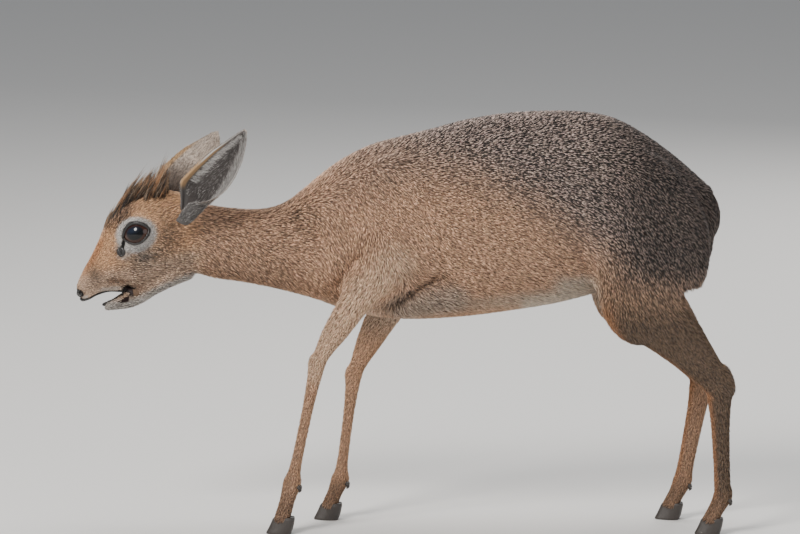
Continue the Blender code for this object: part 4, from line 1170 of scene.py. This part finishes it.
# Tufts in all, how deep their roots lie, the step that gives neighbours different shades, how many tufts
# draw together and how strongly, and the pieces of the coat with the test that picks their part of the skin
COAT_TUFTS = 214000
ROOT_DEPTH = 0.35
GOLDEN = 0.618034
CROWD = 5
CROWD_PULL = 0.16
COAT_PIECES = [
    ("coat_muzzle", lambda x, z: x < -236),
    ("coat_face", lambda x, z: (x >= -236) & (x < -205)),
    ("coat_cheeks", lambda x, z: (x >= -205) & (x < -168)),
    ("coat_neck", lambda x, z: (x >= -168) & (x < -85) & (z > LEG_TOP)),
    ("coat_shoulders", lambda x, z: (x >= -85) & (x < 5) & (z > LEG_TOP)),
    ("coat_ribs", lambda x, z: (x >= 5) & (x < 75) & (z > LEG_TOP)),
    ("coat_loins", lambda x, z: (x >= 75) & (x < 145) & (z > LEG_TOP)),
    ("coat_thighs", lambda x, z: (x >= 145) & (x < 212) & (z > LEG_TOP)),
    ("coat_rump", lambda x, z: (x >= 212) & (z > LEG_TOP)),
    ("coat_forelegs", lambda x, z: (x >= -160) & (x < 100) & (z <= LEG_TOP)),
    ("coat_hindlegs", lambda x, z: (x >= 100) & (z <= LEG_TOP)),
]


def tuft_sizes(points, tick):
    """Length, width and rise of the tufts, and how closely they are set, over the skin."""
    depth = coat_depth(points)
    length = 3.4 + 1.4 * (depth - 0.9)
    width = 0.50 + 0.14 * (depth - 0.9)
    grizzled = ramp(tick, 0.7, 1.0) * ramp(depth, 2.0, 3.0)
    length, width = length * (1 - 0.25 * grizzled), width * (1 + 0.35 * grizzled)
    near_eye = (almond(eye_place(points)) < 1.9) & (points[:, 0] < FACE_END)
    length = np.where(near_eye, length * 0.62, length)
    rise = np.where(near_eye, 0.5, depth * 0.85)
    flat = on_tail(points) | (points[:, 2] < 20)
    rise = np.where(flat, np.minimum(rise, 0.6), rise)
    return length, width, rise, 1.0 / (length * width) ** 0.8


def bare_places(points, normals):
    """Where no hair grows: between the lids, in the mouth, on the nose and under the hooves."""
    place = eye_place(points)
    outer = (place[:, 2] > 0) & (points[:, 0] < FACE_END)
    bare = (almond(place) < 1.05) & outer
    bare |= mouth_lining(points, normals)
    bare |= np.hypot((points[:, 0] + 277.0) / 4.6, (points[:, 2] - 204.4) / 3.4) < 1.0
    lip = gap_to(points[:, (0, 2)], LIP_LINE)
    bare |= (lip < 1.3) & (points[:, 0] < -240)
    bare |= (gland_place(points) < 0.9) & outer
    bare |= (points[:, 2] < CLAW_HEIGHT - 1.0) & (points[:, 0] > -160)
    return bare


def build_coat(points, triangles, material):
    """Tufts over the whole skin, in several pieces."""
    normals = point_normals(points, triangles)
    lie = lie_of_coat(points, normals)
    tint, tick = markings(points, normals)
    length, width, rise, crowd = tuft_sizes(points, tick)
    crowd = np.where(bare_places(points, normals), 0.0, crowd)
    triangles = triangles[spatial_order(points[triangles].mean(axis=1))]
    centre = points[triangles].mean(axis=1)
    a, b, c = (points[triangles[:, k]] for k in range(3))
    share = np.linalg.norm(np.cross(b - a, c - a), axis=1) * crowd[triangles].min(axis=1)
    for index, (name, part) in enumerate(COAT_PIECES):
        own = part(centre[:, 0], centre[:, 2])
        count = int(COAT_TUFTS * (share * own).sum() / share.sum())
        rng = np.random.default_rng(100 + index)
        chosen, weights = scattered(rng, share * own, count)

        def at(values):
            return mixed(values, triangles, chosen, weights)

        root, normal, way = at(points), unit(at(normals)), at(lie)
        swing = np.radians(rng.normal(0.0, 7.0, count))
        across = np.cross(normal, way)
        way = unit(way * np.cos(swing)[:, None] + across * np.sin(swing)[:, None])
        long = at(length) * rng.uniform(0.75, 1.2, count)
        lift = at(rise) * rng.uniform(0.7, 1.15, count)
        tip = root + way * long[:, None] + normal * lift[:, None]
        tip = gathered(root, tip, long)
        middle = root + 0.45 * (tip - root) + normal * (0.16 * lift)[:, None]
        chance = (np.arange(count) * GOLDEN + rng.normal(0.0, 0.04, count)) % 1.0
        colour = speckled(rng, chance, at(tint), at(tick)) * (1.0 + rng.normal(0.0, 0.02, (count, 3)))
        wide = at(width) * rng.uniform(0.8, 1.2, count)
        mesh = tuft_mesh(name, root - normal * ROOT_DEPTH, middle, tip, normal, wide, colour, unwrap(root))
        piece(name, mesh, material)


def curve(table, t, column=1):
    """A value read along a smooth curve through a table of places and values."""
    rows = spline(table, 20)
    return np.interp(t, rows[:, 0], rows[:, column])


def ear_place(side, u, e, lift=0.0):
    """Places on an ear and the way out of its back: u from root to tip, e from edge to edge."""
    sign = SIDES[side]
    root, tip, opening = (np.array((v[0], sign * v[1], v[2])) for v in EARS[side][:3])
    length = np.linalg.norm(tip - root)
    along = (tip - root) / length
    facing = unit(opening - along * opening.dot(along))
    across = np.cross(along, facing)
    ahead = e * sign > 0
    half = EARS[side][3] * np.where(ahead, curve(EAR_FRONT, u), curve(EAR_REAR, u))
    curl = np.radians(np.where(ahead, curve(EAR_FRONT, u, 2), curve(EAR_REAR, u, 2)))
    radius = half / np.sin(np.minimum(curl, np.pi / 2))
    ray = across * np.sin(curl * e)[..., None] - facing * np.cos(curl * e)[..., None]
    spine = root + along * (length * u)[..., None] - facing * (EAR_BOW * np.sin(np.pi * u))[..., None]
    front = e * sign
    bead = 1.6 * np.exp(-((front - 0.92) / 0.1) ** 2) * ramp(u, 0.86, 0.6)
    wall = EAR_WALL * (1 - 0.35 * np.abs(e)) * (1 - 0.4 * u) + bead
    ridge = 0.35 * np.sin(3.2 * np.pi * e) * ramp(u, 0.1, 0.35) * ramp(u, 1.0, 0.75) * (1 - e ** 2)
    reach = radius + np.where(lift < 0, -wall / 2 + ridge, wall / 2) + lift
    return spine + facing * radius[..., None] + ray * reach[..., None], ray


def ear_tint(side, u, e, inside):
    """The colour of the ear's skin and hair."""
    front = e * SIDES[side]
    lobe = ramp(u, 0.27, 0.20)
    if inside:
        colour = EAR_INSIDE * (0.62 + 0.45 * np.abs(e) ** 2)[:, None]
        layers = [(0.6 * ramp(front, -0.35, -0.6), WHITE_HAIR * 0.7),
                  (ramp(front, 0.74, 0.82) * ramp(u, 0.85, 0.60), EAR_STRIP),
                  (lobe * ramp(front, 0.45, 0.60), EAR_LOBE),
                  (ramp(np.abs(e), 0.93, 0.97) * ramp(u, 0.45, 0.6), WHITE_HAIR)]
    else:
        colour = EAR_BACK_LOW + ramp(u, 0.25, 0.6)[:, None] * (EAR_BACK - EAR_BACK_LOW)
        layers = [(ramp(front, 0.70, 0.80) * ramp(u, 0.85, 0.60), EAR_STRIP),
                  (lobe * ramp(front, 0.45, 0.60), EAR_LOBE),
                  (ramp(u, 0.36, 0.24) * ramp(-front, 0.10, 0.30), EAR_LOBE),
                  (ramp(np.abs(e), 0.955, 0.99) * ramp(u, 0.45, 0.6), EAR_RIM)]
    for mask, shade in layers:
        colour = colour + mask[:, None] * (shade - colour)
    return colour


def build_ear(side, skin, hair):
    """An ear: a thin cup with a rolled front edge, and hair on its back, its rim and its inside."""
    steps, slices = 60, 44
    u, e = np.meshgrid(np.linspace(0, 1, steps + 1), np.linspace(-1, 1, slices + 1), indexing="ij")
    walls, tints = [], []
    for lift, inside in ((1e-6, False), (-1e-6, True)):
        walls.append(ear_place(side, u.ravel(), e.ravel(), lift)[0].reshape(*u.shape, 3))
        tints.append(ear_tint(side, u.ravel(), e.ravel(), inside).reshape(*u.shape, 3))
    rings, tint = (np.concatenate([pair[0], pair[1][:, ::-1]], axis=1) for pair in (walls, tints))
    mesh = smooth_piece(f"ear_shell_{side}", tube(rings), skin, [f"ear_{side}"])
    set_attribute(mesh, "tint", tint.reshape(-1, 3))
    for number, row in enumerate(EAR_HAIR):
        ear_hair(side, np.random.default_rng(400 + 2 * number + (side == "right")), hair, row)


# Hair of the ears: name, number, stretch along the ear and across it with 1 at the front edge, lean towards
# the tip and towards the front edge, length, width, rise, whether it grows inside, and how much is white
EAR_HAIR = [
    ("lobe", 600, (0.03, 0.34), (-0.98, -0.45), 1.0, 0.0, 5.0, 0.46, 0.7, False, 0.2),
    ("lobe_front", 300, (0.02, 0.26), (0.55, 0.985), 1.0, 0.3, 5.0, 0.46, 0.7, False, 0.15),
    ("back", 3800, (0.05, 0.985), (-0.985, 0.985), 1.0, 0.0, 4.4, 0.56, 0.7, False, 0.0),
    ("inside", 2600, (0.15, 0.97), (-0.95, 0.72), 1.0, -0.2, 5.5, 0.32, 1.0, True, 0.2),
    ("fringe", 620, (0.30, 0.93), (0.55, 0.80), 0.5, -1.0, 8.5, 0.34, 2.0, True, 0.9),
    ("band", 520, (0.25, 0.9), (-0.85, -0.5), 0.8, 0.6, 6.5, 0.32, 1.2, True, 0.7),
    ("front_rim", 520, (0.10, 0.99), (0.97, 0.985), 0.9, 0.4, 2.6, 0.38, 0.1, False, 0.45),
    ("rear_rim", 520, (0.10, 0.99), (-0.985, -0.97), 0.9, -0.4, 2.6, 0.38, 0.1, False, 0.3),
]


def ear_hair(side, rng, hair, row):
    """One sort of hair of an ear."""
    kind, count, along_range, across_range, up, forward, length, width, rise, inward, white = row
    sign = SIDES[side]
    u, e = rng.uniform(*along_range, count), sign * rng.uniform(*across_range, count)
    lift = -0.05 if inward else 0.05
    place, ray = ear_place(side, u, e, lift)
    ahead, _ = ear_place(side, np.minimum(u + 0.01, 1.0), e, lift)
    beside, _ = ear_place(side, u, e + 0.01 * sign, lift)
    normal = -ray if inward else ray
    way = unit(unit(ahead - place) * up + unit(beside - place) * forward + rng.normal(0.0, 0.12, (count, 3)))
    long = length * rng.uniform(0.6, 1.15, count)
    tip = place + way * long[:, None] + normal * (rise * rng.uniform(0.6, 1.2, count))[:, None]
    colour = speckled(rng, rng.random(count), ear_tint(side, u, e, inward), np.full(count, 0.6))
    colour = np.where((rng.random(count) < white)[:, None], WHITE_HAIR, colour)
    control = place + 0.5 * (tip - place) + normal * (0.3 * rise)
    control += rng.normal(0.0, 0.06, (count, 3)) * long[:, None]
    mesh = blade_mesh(f"ear_{kind}_{side}", bezier(place - normal * 0.3, control, tip, 4), normal,
                      width * rng.uniform(0.8, 1.2, count), colour, np.stack([u, (e + 1) / 2], axis=1))
    piece(f"ear_{kind}_{side}", mesh, hair)


def build_crest(surface, hair):
    """The crest: locks of long hair that rise from the forehead and lean back, each drawn to a point."""
    rng = np.random.default_rng(500)
    shades = np.array([CREST_DARK, CREST_BROWN, CREST_PALE, CREST_ORANGE])
    shares = (0.32, 0.28, 0.24, 0.16)
    roots, controls, tips, tints = [], [], [], []
    for index in range(CREST_LOCKS):
        s = (index + 0.5) / CREST_LOCKS
        reach = CREST_HALF_WIDTH[0] + (CREST_HALF_WIDTH[1] - CREST_HALF_WIDTH[0]) * s
        y = reach * ((index % 5) / 2 - 1) + rng.uniform(-1.2, 1.2)
        x = CREST_X[0] + (CREST_X[1] - CREST_X[0]) * s + rng.uniform(-1.5, 1.5)
        lean = math.radians(curve(CREST_LEAN, s) + rng.normal(0.0, 6.0))
        fan = math.radians(2.2 * y + rng.normal(0.0, 4.0))
        way = unit(np.array((math.sin(lean), math.sin(fan), math.cos(lean) * math.cos(fan))))
        length = curve(CREST_LENGTH, s) * (1 - 0.32 * abs(y) / reach) * rng.uniform(0.82, 1.1)
        main_shade = rng.choice(4, p=shares)
        # Outer locks painted darker: painted shade between the crest and the fur beside it
        dim = 1 - 0.4 * ramp(abs(y) / reach, 0.5, 0.9)
        head_of_lock = None
        for _ in range(CREST_STRANDS):
            start = Vector((x + rng.normal(0.0, 1.7), y + rng.normal(0.0, 1.5), 400.0))
            place = surface.ray_cast(start, Vector((0.0, 0.0, -1.0)))[0]
            if place is None:
                continue
            place = np.array(place)
            if head_of_lock is None:
                head_of_lock = place + way * length
            tip = place + (head_of_lock + rng.normal(0.0, 1.1, 3) - place) * rng.uniform(0.55, 1.04)
            roots.append(place - way)
            controls.append(place + 0.55 * (tip - place) + np.array((-0.07, 0.0, 0.05)) * length)
            tips.append(tip)
            own = rng.choice(4, p=shares) if rng.random() < 0.45 else main_shade
            tints.append(shades[own] * rng.uniform(0.65, 1.25) * dim)
    roots = np.array(roots)
    count = len(roots)
    normal = unit(np.stack([np.full(count, -0.6), np.sign(roots[:, 1]), np.full(count, 0.2)], axis=1))
    paths = bezier(roots, np.array(controls), np.array(tips), 6)
    width = rng.uniform(0.45, 0.75, count)
    mesh = blade_mesh("crest", paths, normal, width, np.array(tints), roots[:, :2] / 100)
    piece("crest", mesh, hair)


def build_eye(side):
    """An eyeball with a dark iris, a long level pupil, a painted reflection of the sky and a raised cornea.
    """
    centre, axis, up, forward = eye_axes(SIDES[side])
    turns = 2 * np.pi * np.arange(112) / 112
    polar, turn = np.meshgrid(np.linspace(0.02, np.pi - 0.02, 80), turns, indexing="ij")
    reach = EYE_RADIUS + 0.6 * np.exp(-(polar / 0.55) ** 2)
    fore, rise = np.sin(polar) * np.cos(turn), np.sin(polar) * np.sin(turn)
    rings = fore[..., None] * forward + rise[..., None] * up + np.cos(polar)[..., None] * axis
    ball = tube(centre + rings * reach[..., None])
    mesh = smooth_piece(f"eyeball_{side}", ball, eye_material(f"eye_{side}"), [f"eye_{side}"])
    fore, rise = fore.ravel() * EYE_RADIUS, rise.ravel() * EYE_RADIUS
    pupil = ramp(np.hypot(fore / 7.6, rise / 5.6), 1.05, 0.9)
    radius, angle = np.hypot(fore, rise), np.arctan2(rise, fore)
    streak = 0.82 + 0.18 * np.sin(angle * 41 + 2 * np.sin(angle * 7)) * np.sin(radius * 1.7 + angle * 3)
    iris = IRIS * (streak * (0.75 + 0.5 * ramp(radius, 6.0, 10.0)))[:, None]
    colour = iris + ramp(radius, 10.2, 11.4)[:, None] * (EYE_WHITE - iris)
    # Painted reflection: a blue-grey patch of sky painted into the eye's colour
    painted_reflection = np.exp(-((fore - 1.5) / 6.0) ** 2 - ((rise - 3.0) / 2.6) ** 2)[:, None]
    colour += pupil[:, None] * (PUPIL - colour)
    colour += 0.8 * painted_reflection * (PAINTED_SKY_REFLECTION - colour)
    set_attribute(mesh, "tint", colour)


def lid_points(sign, angle, grow, lift):
    """Places round the almond between the lids, on a ball a little larger than the eye."""
    centre, axis, up, forward = eye_axes(sign)
    x = (LID_OPENING[0] + grow) * np.cos(angle)
    z = (LID_OPENING[1] + grow) * np.sin(angle) * (1 - LID_SQUEEZE * np.cos(angle) ** 2)
    x = x + 1.2 * np.exp(-(np.minimum(angle, 2 * np.pi - angle) / 0.3) ** 2)
    out = np.sqrt(np.maximum((EYE_RADIUS + lift) ** 2 - x ** 2 - z ** 2, 9.0))
    places = centre + x[:, None] * forward + z[:, None] * up + out[:, None] * axis
    return places, axis


def build_lids(side, bare, hair):
    """The black rims of the lids, and lashes along the upper one."""
    sign = SIDES[side]
    angle = 2 * np.pi * np.arange(120) / 120
    upper = ramp(np.sin(angle), -0.1, 0.5)
    places, axis = lid_points(sign, angle, -0.7, 0.6)
    radii = 0.85 + 0.65 * upper + 0.55 * np.exp(-(np.minimum(angle, 2 * np.pi - angle) / 0.35) ** 2)
    smooth_piece(f"lid_rims_{side}", swept(places, radii, 14, True, axis), bare)
    rng = np.random.default_rng(520 + (sign > 0))
    count = 150
    angle = rng.uniform(0.25, 2.75, count)
    roots, axis = lid_points(sign, angle, 0.3, 1.4)
    _, _, up, forward = eye_axes(sign)
    fan = np.cos(angle)[:, None] * forward * 0.55
    way = unit(axis * 1.0 + up * 0.25 + fan + rng.normal(0.0, 0.08, (count, 3)))
    length = rng.uniform(3.0, 4.6, count)[:, None]
    tips = roots + way * length + up * 0.9
    control = roots + way * length * 0.6 - up * 0.3
    place = np.stack([angle, rng.random(count)], axis=1)
    mesh = blade_mesh(f"lashes_{side}", bezier(roots, control, tips, 5), np.tile(up, (count, 1)),
                      np.full(count, 0.3), np.tile(BLACK, (count, 1)), place)
    piece(f"lashes_{side}", mesh, hair)


def build_gland(side, surface, bare):
    """The bare black gland before the eye: a low mound with a slit."""
    centre, axis, up, forward = eye_axes(SIDES[side])
    spot = centre + forward * GLAND[0] + up * GLAND[1]
    place = surface.ray_cast(Vector(spot + axis * 40.0), Vector(-axis))[0]
    place = np.array(place) if place is not None else spot
    local, faces = ellipsoid((0.0, 0.0, 0.0), (1.0, 1.0, 1.0), 0.0, 48)
    slit = np.exp(-(local[:, 0] / 0.22) ** 2) * (np.abs(local[:, 1]) < 0.75) * (local[:, 2] > 0)
    height = local[:, 2] * GLAND_RISE - GLAND_SLIT * slit
    verts = place + local[:, :1] * forward * GLAND_HALF_LENGTH + local[:, 1:2] * up * GLAND_HALF_SIZE
    verts += height[:, None] * axis
    smooth_piece(f"gland_{side}", (verts, faces), bare)


def build_nose(bare):
    """The bare black tip of the nose with its comma-shaped nostrils and the groove between them."""
    parts = [ellipsoid((-274.6, 0.0, 204.2), (3.9, 5.8, 3.7), -15.0)]
    for sign in SIDES.values():
        parts.append(ellipsoid((-273.8, sign * 5.0, 205.0), (4.0, 2.9, 3.0), 25.0))
    mesh = new_mesh("nose_pad", *joined(parts))
    mesh = evaluated(mesh, [("REMESH", {"mode": "VOXEL", "voxel_size": NOSE_VOXEL})])
    points, edges = points_of(mesh), edges_of(mesh)
    points = relaxed(points, edges, np.ones(len(points)), 10)
    normals = point_normals(points, triangles_of(mesh))
    x, y, z = points[:, 0], np.abs(points[:, 1]), points[:, 2]
    ahead, above = x - NOSTRIL[0], z - NOSTRIL[1]
    lengthwise = ahead * 0.75 + above * 0.66
    crosswise = -ahead * 0.66 + above * 0.75
    bent = crosswise + 0.12 * lengthwise ** 2
    pit = np.exp(-(lengthwise / 2.3) ** 4 - (bent / 0.95) ** 4) * (y > 3.2)
    groove = np.exp(-(y / 0.45) ** 2) * (x < -273) * (z < 208)
    points = points - normals * (2.4 * pit + 0.7 * groove)[:, None]
    set_points(mesh, to_frame(points))
    mesh.shade_smooth()
    piece("nose_pad", mesh, bare, ["nose"])


def build_lips(bare):
    """The dark bare edges of the lips."""
    parts = []
    for rows, front, lift, rear_lift in ((UPPER_LIP, (-274.6, 0.0, 200.6, 1.0), -1.6, -1.9),
                                         (LOWER_LIP, (-255.2, 0.0, 193.2, 1.2), 0.9, 0.6)):
        half = np.array(rows)
        half[:, 1] += np.linspace(0.1, -0.4, len(rows))
        half[:, 2] += np.linspace(lift, rear_lift, len(rows))
        half[:, 3] = np.linspace(1.15, 1.1, len(rows))
        half[-1, 3] = 0.7
        other = half[::-1] * (1.0, -1.0, 1.0, 1.0)
        path = spline(np.vstack([other, np.array(front) + (0.0, 0.0, lift, 0.0), half]), 8)
        parts.append(swept(path[:, :3], path[:, 3], 14))
    smooth_piece("lip_edges", joined(parts), bare)


def build_mouth(skin):
    """The inside of the mouth, painted dark with its shade, and the skin at its corners."""
    # Painted shade: the inside of the mouth painted near black
    dark = bare_material("mouth_lining", MOUTH_IN_SHADE * 0.7, 0.6, 500.0, 0.25)
    inside = joined([ellipsoid((-232.0, 0.0, 205.0), (7.5, 9.0, 5.6), 0.0, 48),
                     ellipsoid((-241.0, 0.0, 208.6), (9.5, 9.8, 3.4), 0.0, 48)])
    corners = ellipsoid((-225.5, 0.0, 205.5), (8.0, 9.4, 6.4), 0.0, 64)
    for name, shape, material in (("mouth_inside", inside, dark), ("mouth_corners", corners, skin)):
        mesh = smooth_piece(name, shape, material)
        set_attribute(mesh, "tint", np.tile(MOUTH_CORNER, (len(mesh.vertices), 1)))


def build_whiskers(surface, hair):
    """Fine bristles on the muzzle and the chin."""
    rng = np.random.default_rng(540)
    roots, tips, normals = [], [], []
    for sign in SIDES.values():
        for row in range(4):
            for column in range(6):
                x = -266.0 + 4.2 * column + rng.uniform(-0.8, 0.8)
                z = 209.0 + 3.2 * row + 0.6 * column + rng.uniform(-0.6, 0.6)
                hit = surface.ray_cast(Vector((x, sign * 60.0, z)), Vector((0.0, -sign, 0.0)))[0]
                if hit is None:
                    continue
                place = np.array(hit)
                way = unit(np.array((0.50, sign * 0.75, -0.28)) + rng.normal(0.0, 0.12, 3))
                roots.append(place)
                tips.append(place + way * rng.uniform(8.0, 15.0))
                normals.append((0.0, sign, 0.2))
    roots, tips, normals = np.array(roots), np.array(tips), np.array(normals, float)
    count = len(roots)
    control = roots + 0.5 * (tips - roots) + normals * 1.2
    mesh = blade_mesh("whiskers", bezier(roots, control, tips, 6), unit(normals), np.full(count, 0.24),
                      np.tile(CREST_DARK, (count, 1)), rng.random((count, 2)))
    piece("whiskers", mesh, hair)


# A claw from above, as parts of its length and width, and its rings: height, size and slope back
CLAW_OUTLINE = [
    (-0.62, 0.10), (-0.56, 0.34), (-0.42, 0.60), (-0.20, 0.86), (0.06, 1.0), (0.26, 0.94), (0.36, 0.66),
    (0.40, 0.30), (0.36, 0.04), (0.0, 0.02), (-0.40, 0.02),
]
CLAW_RINGS = [
    (0.0, 0.93, 0.0), (0.5, 0.99, 0.0), (1.6, 1.0, 0.3), (4.0, 0.985, 1.4), (7.0, 0.955, 2.5),
    (10.0, 0.92, 3.4), (12.5, 0.89, 4.1), (14.5, 0.80, 4.6),
]

# A false hoof: distance behind the joint and below it, and radius
FALSE_HOOF = [(4.5, 3.0, 1.7), (6.3, 4.8, 2.0), (6.6, 6.8, 1.5), (5.6, 8.6, 0.3)]


def build_claw(prefix, foot, sign, which, word, horn):
    """One claw of a hoof: flat inside and below, round outside, pointed at the toe, finely ridged."""
    x, y = foot[0], sign * foot[2]
    outline = np.array(CLAW_OUTLINE + CLAW_OUTLINE[:1])
    outline = spline(outline, 5)[:-1]
    rings = []
    for height, scale, back in spline(CLAW_RINGS, 5):
        ridge = 0.06 * math.sin(height * 4.2)
        px = x + CLAW_LENGTH * outline[:, 0] * scale + back
        py = y + which * (CLAW_GAP / 2 + (CLAW_WIDTH + ridge) * np.clip(outline[:, 1], 0, 2) * scale)
        rings.append(np.stack([px, py, np.full(len(px), height)], axis=1))
    smooth_piece(f"{prefix}claw_{word}", tube(rings), horn, [f"{prefix}hoof_{word}"])


def build_feet(horn):
    """The claws and the false hooves of the four feet."""
    false_hooves = []
    for prefix, table in (("foreleg", FORE_JOINTS), ("hindleg", HIND_JOINTS)):
        for side, sign in SIDES.items():
            joints = table[side]
            for which, word in ((-sign, "inner"), (sign, "outer")):
                build_claw(f"{prefix}_{side}_", joints[-1], sign, which, word, horn)
            x, z, y = joints[-2]
            for which in (-1, 1):
                rows = spline(FALSE_HOOF, 4)
                path = [(x + back, sign * y + which * 3.9, z - down) for back, down, _ in rows]
                false_hooves.append(swept(path, rows[:, 2]))
    smooth_piece("false_hooves", joined(false_hooves), horn)


def main():
    """The camera, the studio and every piece of the animal."""
    make_camera()
    make_studio()
    points, triangles = build_skin()
    normals = point_normals(points, triangles)
    tint, _ = markings(points, normals)
    # Painted shade: the skin lining the open mouth in the dark colour of the mouth's inside
    tint = np.where(mouth_lining(points, normals)[:, None], MOUTH_IN_SHADE, tint)
    mesh = triangle_mesh("skin", to_frame(points), triangles)
    set_attribute(mesh, "tint", tint)
    flesh = ["head", "lower_jaw", "neck", "torso", "tail"]
    for side in SIDES:
        flesh += [f"foreleg_{side}_{part}" for part in ("shoulder", "forearm", "cannon", "foot")]
        flesh += [f"hindleg_{side}_{part}" for part in ("thigh", "gaskin", "cannon", "foot")]
    piece("skin", mesh, skin_material("skin"), flesh)
    hair = hair_material("hair")
    bare = bare_material("black_skin", BLACK * 1.5, 0.38, 900.0, 0.35, 0.25)
    horn = bare_material("horn", HORN, 0.42, 300.0, 0.25, 0.1)
    surface = BVHTree.FromPolygons(points.tolist(), triangles.tolist())
    build_coat(points, triangles, hair)
    ear_skin = skin_material("ear_skin")
    for side in SIDES:
        build_ear(side, ear_skin, hair)
        build_eye(side)
        build_lids(side, bare, hair)
        build_gland(side, surface, bare)
    build_crest(surface, hair)
    build_nose(bare)
    build_lips(bare)
    build_mouth(ear_skin)
    build_whiskers(surface, hair)
    build_feet(horn)


main()
